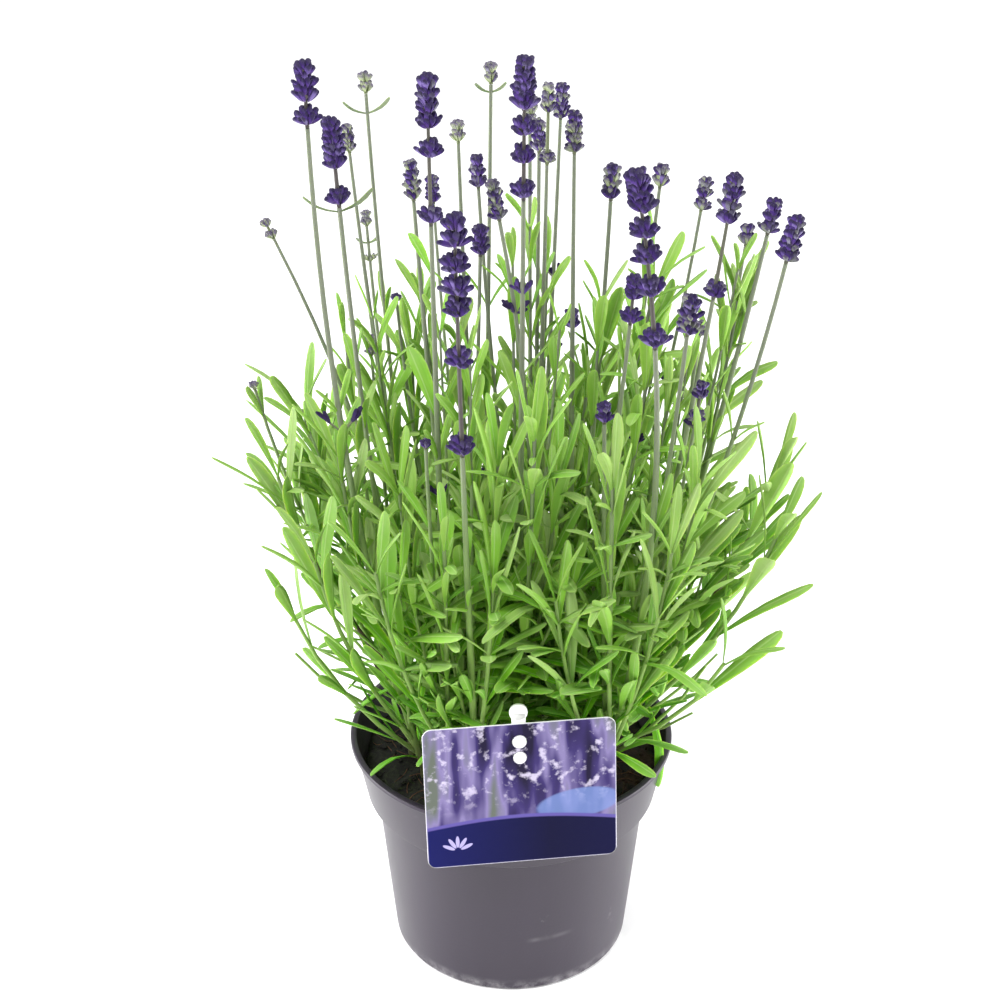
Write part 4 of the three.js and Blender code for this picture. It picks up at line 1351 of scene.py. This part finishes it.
def makeLeafyStem(index, shape, material):
    bm = blank("tint", "age", "kind")
    random = draws(seeds["stem"] + index)
    own, fill = ofStem(axes, index), ofStem(fillAxes, index)
    for axis in own:
        addAxis(bm, axis, random, shape)
    for axis in spires(index):
        addShoot(bm, axis, stemSet["spireTip"], random)
        addLeaves(bm, axis, spireLeaves(axis, random), fillSet["margin"], None, random, shape)
    for axis in [axis for axis in fill if not hidesSoil(axis)]:
        addShoot(bm, axis, stemSet["fillTip"], random)
        leaves = [*leafPlaces(axis)[-fillSet["ownPairs"]:], *skirts(axis, random)]
        addLeaves(bm, axis, leaves, fillSet["margin"], None, random, shape)
    for axis in own:
        addLeaves(bm, axis, tufts(axis, random), fillSet["margin"], None, random, shape)
    for axis in own + fill:
        for z, azimuth, length, share, opens, arch in broadLeaves.get(axis.number, []):
            azimuth, opens, arch = map(math.radians, (azimuth, opens, arch))
            leaf = Leaf(axis, z, azimuth, length, share, opens, arch, swing(0.3, random), 0.5)
            addLeaf(bm, leaf, random, shape)
    finishPiece(bm, "foliage_%02d" % (index + 1), "leaf", [material], "leafy_stem_%02d" % (index + 1))


def leafFinish():
    paint = Paint("lavenderLeaf")
    place = paint.coordinates("Object")
    x, y, z = paint.parts(place)
    u, v, _ = paint.parts(paint.coordinates("UV"))
    tint, kind = paint.attribute("tint"), paint.attribute("kind")
    under = paint.between(u, 1.2, 1.3)
    across = u - under * leafSet["underside"]
    far = paint.maths("ABSOLUTE", across - 0.5)
    aside = paint.maths("SQRT", x * x + y * y)
    cloudy = paint.grain(place, 60, 3)
    streak = paint.grain(paint.vector(across * 7, v * 2.2, tint * 40), 1, 3, 0.6)
    midrib = paint.between(far, 0.06, 0.015)
    greens = [(0.0, 72, 140, 0), (0.3, 104, 168, 14), (0.65, 122, 168, 50), (1.0, 156, 180, 112)]
    colour = paint.coat(
        paint.ramp(tint, greens),
        (cloudy * 0.3, 114, 168, 32),
        # Painted shade greens and darkens the leaves low in the bush and at the left; a painted highlight
        # makes them greyer high up; greyer too at the bush's outside
        (paint.between(z, 0.24, 0.11) * 0.65, 76, 152, 0),
        (paint.between(z, 0.18, 0.28) * 0.4, 126, 150, 84),
        (paint.between(aside, 0.06, 0.11) * 0.4, 120, 138, 84),
        (paint.between(x, -0.04, -0.1) * 0.3, 86, 120, 46),
        (paint.between(streak, 0.42, 0.68) * 0.3, 88, 142, 8),
        # Painted shade darkens each leaf at its root and a painted highlight pales its tip; then its midrib,
        # margin and underside
        (paint.between(v, 0.4, 0.0) * 0.35, 66, 124, 4),
        (paint.between(v, 0.6, 1.0) * 0.25, 152, 176, 116),
        (midrib * 0.35, 170, 194, 130),
        (paint.between(far, 0.40, 0.5) * 0.1, 158, 184, 118),
        (under * 0.3, 134, 172, 70),
    )
    stem = paint.mix(paint.between(z, 0.18, 0.32), shade(120, 150, 76), shade(108, 114, 98))
    stem = paint.coat(stem, (paint.between(z, 0.13, 0.10) * 0.8, 84, 78, 56))
    colour = paint.mix(paint.between(kind, 0.0, 1.0), colour, stem)
    colour = paint.coat(colour, (paint.between(kind, 1.2, 2.0) * paint.between(z, 0.25, 0.2), 84, 68, 66))
    ripples = {"Vector": paint.vector(v * 9 - far * 7, 0.0, 0.0), "Scale": 1.0, "Distortion": 0.6}
    veins = paint.node("TexWave", {"wave_type": "BANDS"}, ripples)
    down = paint.grain(place, 2600, 2, 0.6)
    return paint.finish({
        "Base Color": colour,
        "Roughness": 0.52 + down * 0.14,
        "Normal": paint.bump(veins * 0.35 + down * 0.35 - midrib * 0.5, 0.35, 0.00025),
        "Specular IOR Level": 0.14,
        "Sheen Weight": 0.03,
        "Subsurface Weight": 0.26,
        "Subsurface Radius": (0.004, 0.006, 0.001),
        "Subsurface Scale": 0.3,
    })


leafMaterial = leafFinish()
leafMesh = leafShape()
for index in range(len(stems)):
    makeLeafyStem(index, leafMesh, leafMaterial)
    print("foliage", index + 1)


# Flower heads

headSet = {
    "rachis": 0.95, "rachisTip": 0.6, "rachisEnds": (0.3, 3),
    "length": (4.64, 6.264), "radius": (1.152, 1.408), "thinner": 0.7, "sides": 6, "ribs": 0.84,
    # Whorls are smaller and more upright at the top: their share there, and what each step down adds
    "topShare": 0.55, "moreShare": 0.2, "topLength": 0.7, "rootOut": 0.9,
    "stations": [0, 0.2, 0.5, 0.76, 0.92, 1],
    "radii": [0.45, 0.84, 1, 0.98, 0.78, 0.36],
    # How many buds stand in each ring of a whorl, how far they lean, and how high the ring sits
    "rings": [(6, 14, 1.2), (8, 30, 0.5), (9, 50, 0)],
    "denseRings": [(6, 14, 2.9), (8, 26, 1.5), (9, 44, 0)],
    "rootDepth": 2.6, "turnVaries": 0.5, "leanVaries": 22, "fullDepth": 12,
    "left": 0.12, "mottled": 0.8, "young": 0.35,
    "bract": 4.2, "bractShare": 0.62, "bractBelow": 0.2, "bractOpen": 0.9, "bractArch": -0.3,
}


def budShape():
    sides = headSet["sides"]
    bm = column(sides, len(headSet["stations"]))
    unwrap(bm, sides, lambda face, corner, station: (corner / sides, headSet["stations"][station]))
    for vertex in bm.verts:
        corner, station = ringOf(vertex, sides)
        rib = headSet["ribs"] if corner % 2 and station < 4 else 1
        radius = headSet["radii"][station] * rib
        vertex.co = atAngle(math.tau * corner / sides, radius, headSet["stations"][station])
    return kept(bm, "budShape")


def addBud(bm, root, direction, length, radius, shape, marks):
    side = direction.orthogonal().normalized()
    other = direction.cross(side)

    def place(x, y, z):
        return root + direction * length * z + side * x * radius + other * y * radius

    stamp(bm, shape, place, marks)


def addWhorl(bm, axis, depth, random, bud, leaf):
    flower = axis.flower
    size = flower.size
    slope = axis.directionAt(axis.end.z).z
    share = min(1, headSet["topShare"] + headSet["moreShare"] * depth / plantSet["denseStep"])
    z = axis.end.z - (depth + headSet["rootDepth"] * size) * slope
    up = axis.directionAt(z)
    first = squared(Vector((1, 0, 0)), up)
    second = up.cross(first)
    turn = math.tau * random()
    least = headSet["topLength"]
    for count, lean, lift in headSet["rings" if depth in flower.loose else "denseRings"]:
        for i in range(count):
            angle = turn + lift + math.tau * i / count + swing(headSet["turnVaries"], random)
            out = first * math.cos(angle) + second * math.sin(angle)
            tilt = math.radians(lean * share + swing(headSet["leanVaries"], random))
            direction = (up * math.cos(tilt) + out * math.sin(tilt)).normalized()
            length = within(headSet["length"], random) * size * (least + (1 - least) * share)
            radius = within(headSet["radius"], random) * size ** headSet["thinner"]
            root = axis.pointAt(z) + out * headSet["rootOut"] * size
            root = root + up * lift * size * min(1, depth / headSet["fullDepth"])
            ripe = min(1, max(0, flower.ripe + swing(headSet["mottled"], random)))
            if random() > headSet["left"]:
                addBud(bm, root, direction, length, radius, bud, {"tint": random(), "ripe": ripe, "kind": 0})
    for side in range(2):
        addBract(bm, axis, z - headSet["bractBelow"], turn + side * math.pi, random, leaf)


def addBract(bm, axis, z, azimuth, random, leaf):
    length, share = headSet["bract"] * axis.flower.size, headSet["bractShare"]
    bract = Leaf(axis, z, azimuth, length, share, headSet["bractOpen"], headSet["bractArch"], 0, 1)
    frames = leafCurve(bract, 0)

    def place(x, y, z):
        middle, face = frames[round(z, 4)]
        return middle + bract.across * x * bract.half + face * y * bract.half

    stamp(bm, leaf, place, {"tint": random(), "ripe": axis.flower.ripe, "kind": 1})


def makeHead(axis, number, bud, leaf, materials):
    bm = blank("tint", "ripe", "kind")
    random = draws(seeds["head"] + number)
    thick, ripe = headSet["rachis"], axis.flower.ripe
    low, high = headSet["rachisEnds"]
    marks = {"tint": random(), "ripe": ripe, "kind": 1}
    addStem(bm, axis, headBase(axis) + low, axis.end.z - high, thick, thick * headSet["rachisTip"], marks)
    for depth in axis.flower.whorls:
        addWhorl(bm, axis, depth, random, bud, leaf)
    slot = "bud" if ripe < headSet["young"] else "violet"
    finishPiece(bm, "blossom_%02d" % (number + 1), slot, [materials[slot]], "flower_head_%02d" % (number + 1))


def budFinish(name):
    paint = Paint(name)
    place = paint.coordinates("Object")
    _, v, _ = paint.parts(paint.coordinates("UV"))
    tint, ripe, kind = (paint.attribute(mark) for mark in ("tint", "ripe", "kind"))
    downy = paint.grain(place, 900, 3, 0.6)
    young = paint.ramp(v, [
        (0.0, 104, 120, 72), (0.4, 142, 154, 112), (0.7, 134, 140, 118), (1.0, 82, 72, 98),
    ])
    full = paint.ramp(v, [
        (0.0, 132, 126, 136), (0.2, 76, 54, 110), (0.6, 60, 32, 108), (0.8, 30, 10, 66), (1.0, 16, 4, 38),
    ])
    # Painted highlight: buds with a high tint are paler lilac, fading out towards their tips
    paintedLilacHighlight = paint.between(tint, 0.6, 1.0) * paint.between(v, 0.95, 0.6)
    full = paint.coat(full, (paintedLilacHighlight * 0.6, 132, 116, 174))
    colour = paint.coat(
        paint.mix(paint.between(ripe, 0.2, 0.75), young, full),
        (downy * ripe * 0.15, 112, 102, 142),
        (paint.between(ripe, 1.0, 2.0) * 0.75, 22, 10, 44),
    )
    colour = paint.mix(kind, colour, paint.mix(ripe, shade(112, 122, 88), shade(74, 70, 68)))
    return paint.finish({
        "Base Color": colour,
        "Roughness": 0.62 + downy * 0.2,
        "Normal": paint.bump(downy, 0.5, 0.0003),
        "Sheen Weight": 0.06,
        "Specular IOR Level": 0.14,
    })


# Pairs of buds on short arms along the stalks, by the axis: height, arm, size and ripeness
budPairs = {
    0: [(280, 10, 1.1, 1)], 7: [(316, 3, 0.6, 0.1)], 22: [(276, 6, 0.8, 1), (313, 5, 0.8, 1)],
    17: [(333, 3, 0.9, 0.7)], 18: [(320, 5, 1, 1)], 24: [(292, 4, 0.9, 1)], 30: [(284, 4, 0.8, 1)],
    32: [(266, 4, 0.8, 0.9)], 36: [(284, 3, 0.8, 0.9)], 59: [(266, 2, 0.6, 1)],
    11: [(239, 4, 0.9, 1)], 8: [(249, 3, 0.8, 1)],
}

# Each arm of a pair and its buds: past a short arm the buds spread less and stand out from the stalk
pairSet = {
    "buds": 5, "armRadius": 0.7, "shortArm": 6, "spread": {"short": 1.2, "long": 0.5},
    "length": 5, "radius": 1.05, "step": 0.7, "inset": 4,
    "forward": 0.4, "rise": (0.9, 1.5), "upright": 0.3, "armRipe": 0.4, "budRipe": 2,
}


def makeBudPairs(bud, material):
    # Each pair stands on two short arms, and a ripeness above 1 marks its darker buds
    bm = blank("tint", "ripe", "kind")
    random = draws(seeds["budPairs"])
    for axis in [axis for axis in axes if axis.number in budPairs]:
        for z, arm, size, ripe in budPairs[axis.number]:
            up = axis.directionAt(z)
            spread = pairSet["spread"]["short" if arm < pairSet["shortArm"] else "long"]
            for side in (-1, 1):
                forward, rise = swing(pairSet["forward"], random), within(pairSet["rise"], random)
                out = Vector((side, forward, rise)).normalized()
                marks = {"tint": 0, "ripe": ripe * pairSet["armRipe"], "kind": 1}
                addBud(bm, axis.pointAt(z), out, arm, pairSet["armRadius"], bud, marks)
                marks = {"tint": 0, "ripe": ripe * pairSet["budRipe"], "kind": 0}
                for k in range(pairSet["buds"]):
                    aside = Vector([swing(1, random) for _ in range(3)])
                    direction = (out + up * pairSet["upright"] + aside * spread).normalized()
                    root = axis.pointAt(z) + out * (max(0, arm - pairSet["inset"]) + k * pairSet["step"])
                    length, radius = pairSet["length"] * size, pairSet["radius"] * size
                    addBud(bm, root, direction, length, radius, bud, marks)
    finishPiece(bm, "side_buds", "violet", [material])


budMaterials = {"violet": budFinish("violetCalyx"), "bud": budFinish("youngCalyx")}
budMesh = budShape()
for number, axis in enumerate([axis for axis in axes if axis.flower]):
    makeHead(axis, number, budMesh, leafMesh, budMaterials)
makeBudPairs(budMesh, budMaterials["violet"])
print("flower heads made")


# Floor and light

stageSet = {
    "floor": 40, "world": 1.04, "aim": (0, 0, 0.2),
    # Place, size and power of each soft light, all aimed at the plant's middle
    "lights": [
        ((-0.7, -0.9, 1.6), 0.5, 24),
        ((1.1, -0.9, 1.1), 0.9, 5),
        ((0, 0.2, 1.9), 1.2, 6),
        ((-1.2, 0.1, 0.15), 0.8, 28),
        ((1.2, 0.1, 0.15), 0.8, 28),
    ],
}


def makeStage():
    bm = bmesh.new()
    bmesh.ops.create_grid(bm, x_segments=1, y_segments=1, size=stageSet["floor"] / 2)
    floor = bpy.data.objects.new("floor", kept(bm, "floor"))
    bpy.context.scene.collection.objects.link(floor)
    paint = Paint("paleFloor")
    floor.data.materials.append(paint.finish({"Base Color": (0.97, 0.97, 0.97, 1), "Roughness": 0.9}))
    world = bpy.data.worlds.new("studio")
    world.use_nodes = True
    background = world.node_tree.nodes["Background"].inputs
    background["Color"].default_value = (1, 1, 1, 1)
    background["Strength"].default_value = stageSet["world"]
    bpy.context.scene.world = world
    for i, (place, size, power) in enumerate(stageSet["lights"]):
        light = bpy.data.lights.new("softLight%d" % i, "AREA")
        light.energy = power
        light.size = size
        lamp = bpy.data.objects.new("softLight%d" % i, light)
        lamp.location = place
        lamp.rotation_euler = (Vector(stageSet["aim"]) - Vector(place)).to_track_quat("-Z", "Y").to_euler()
        bpy.context.scene.collection.objects.link(lamp)


makeStage()
print("stage ready")
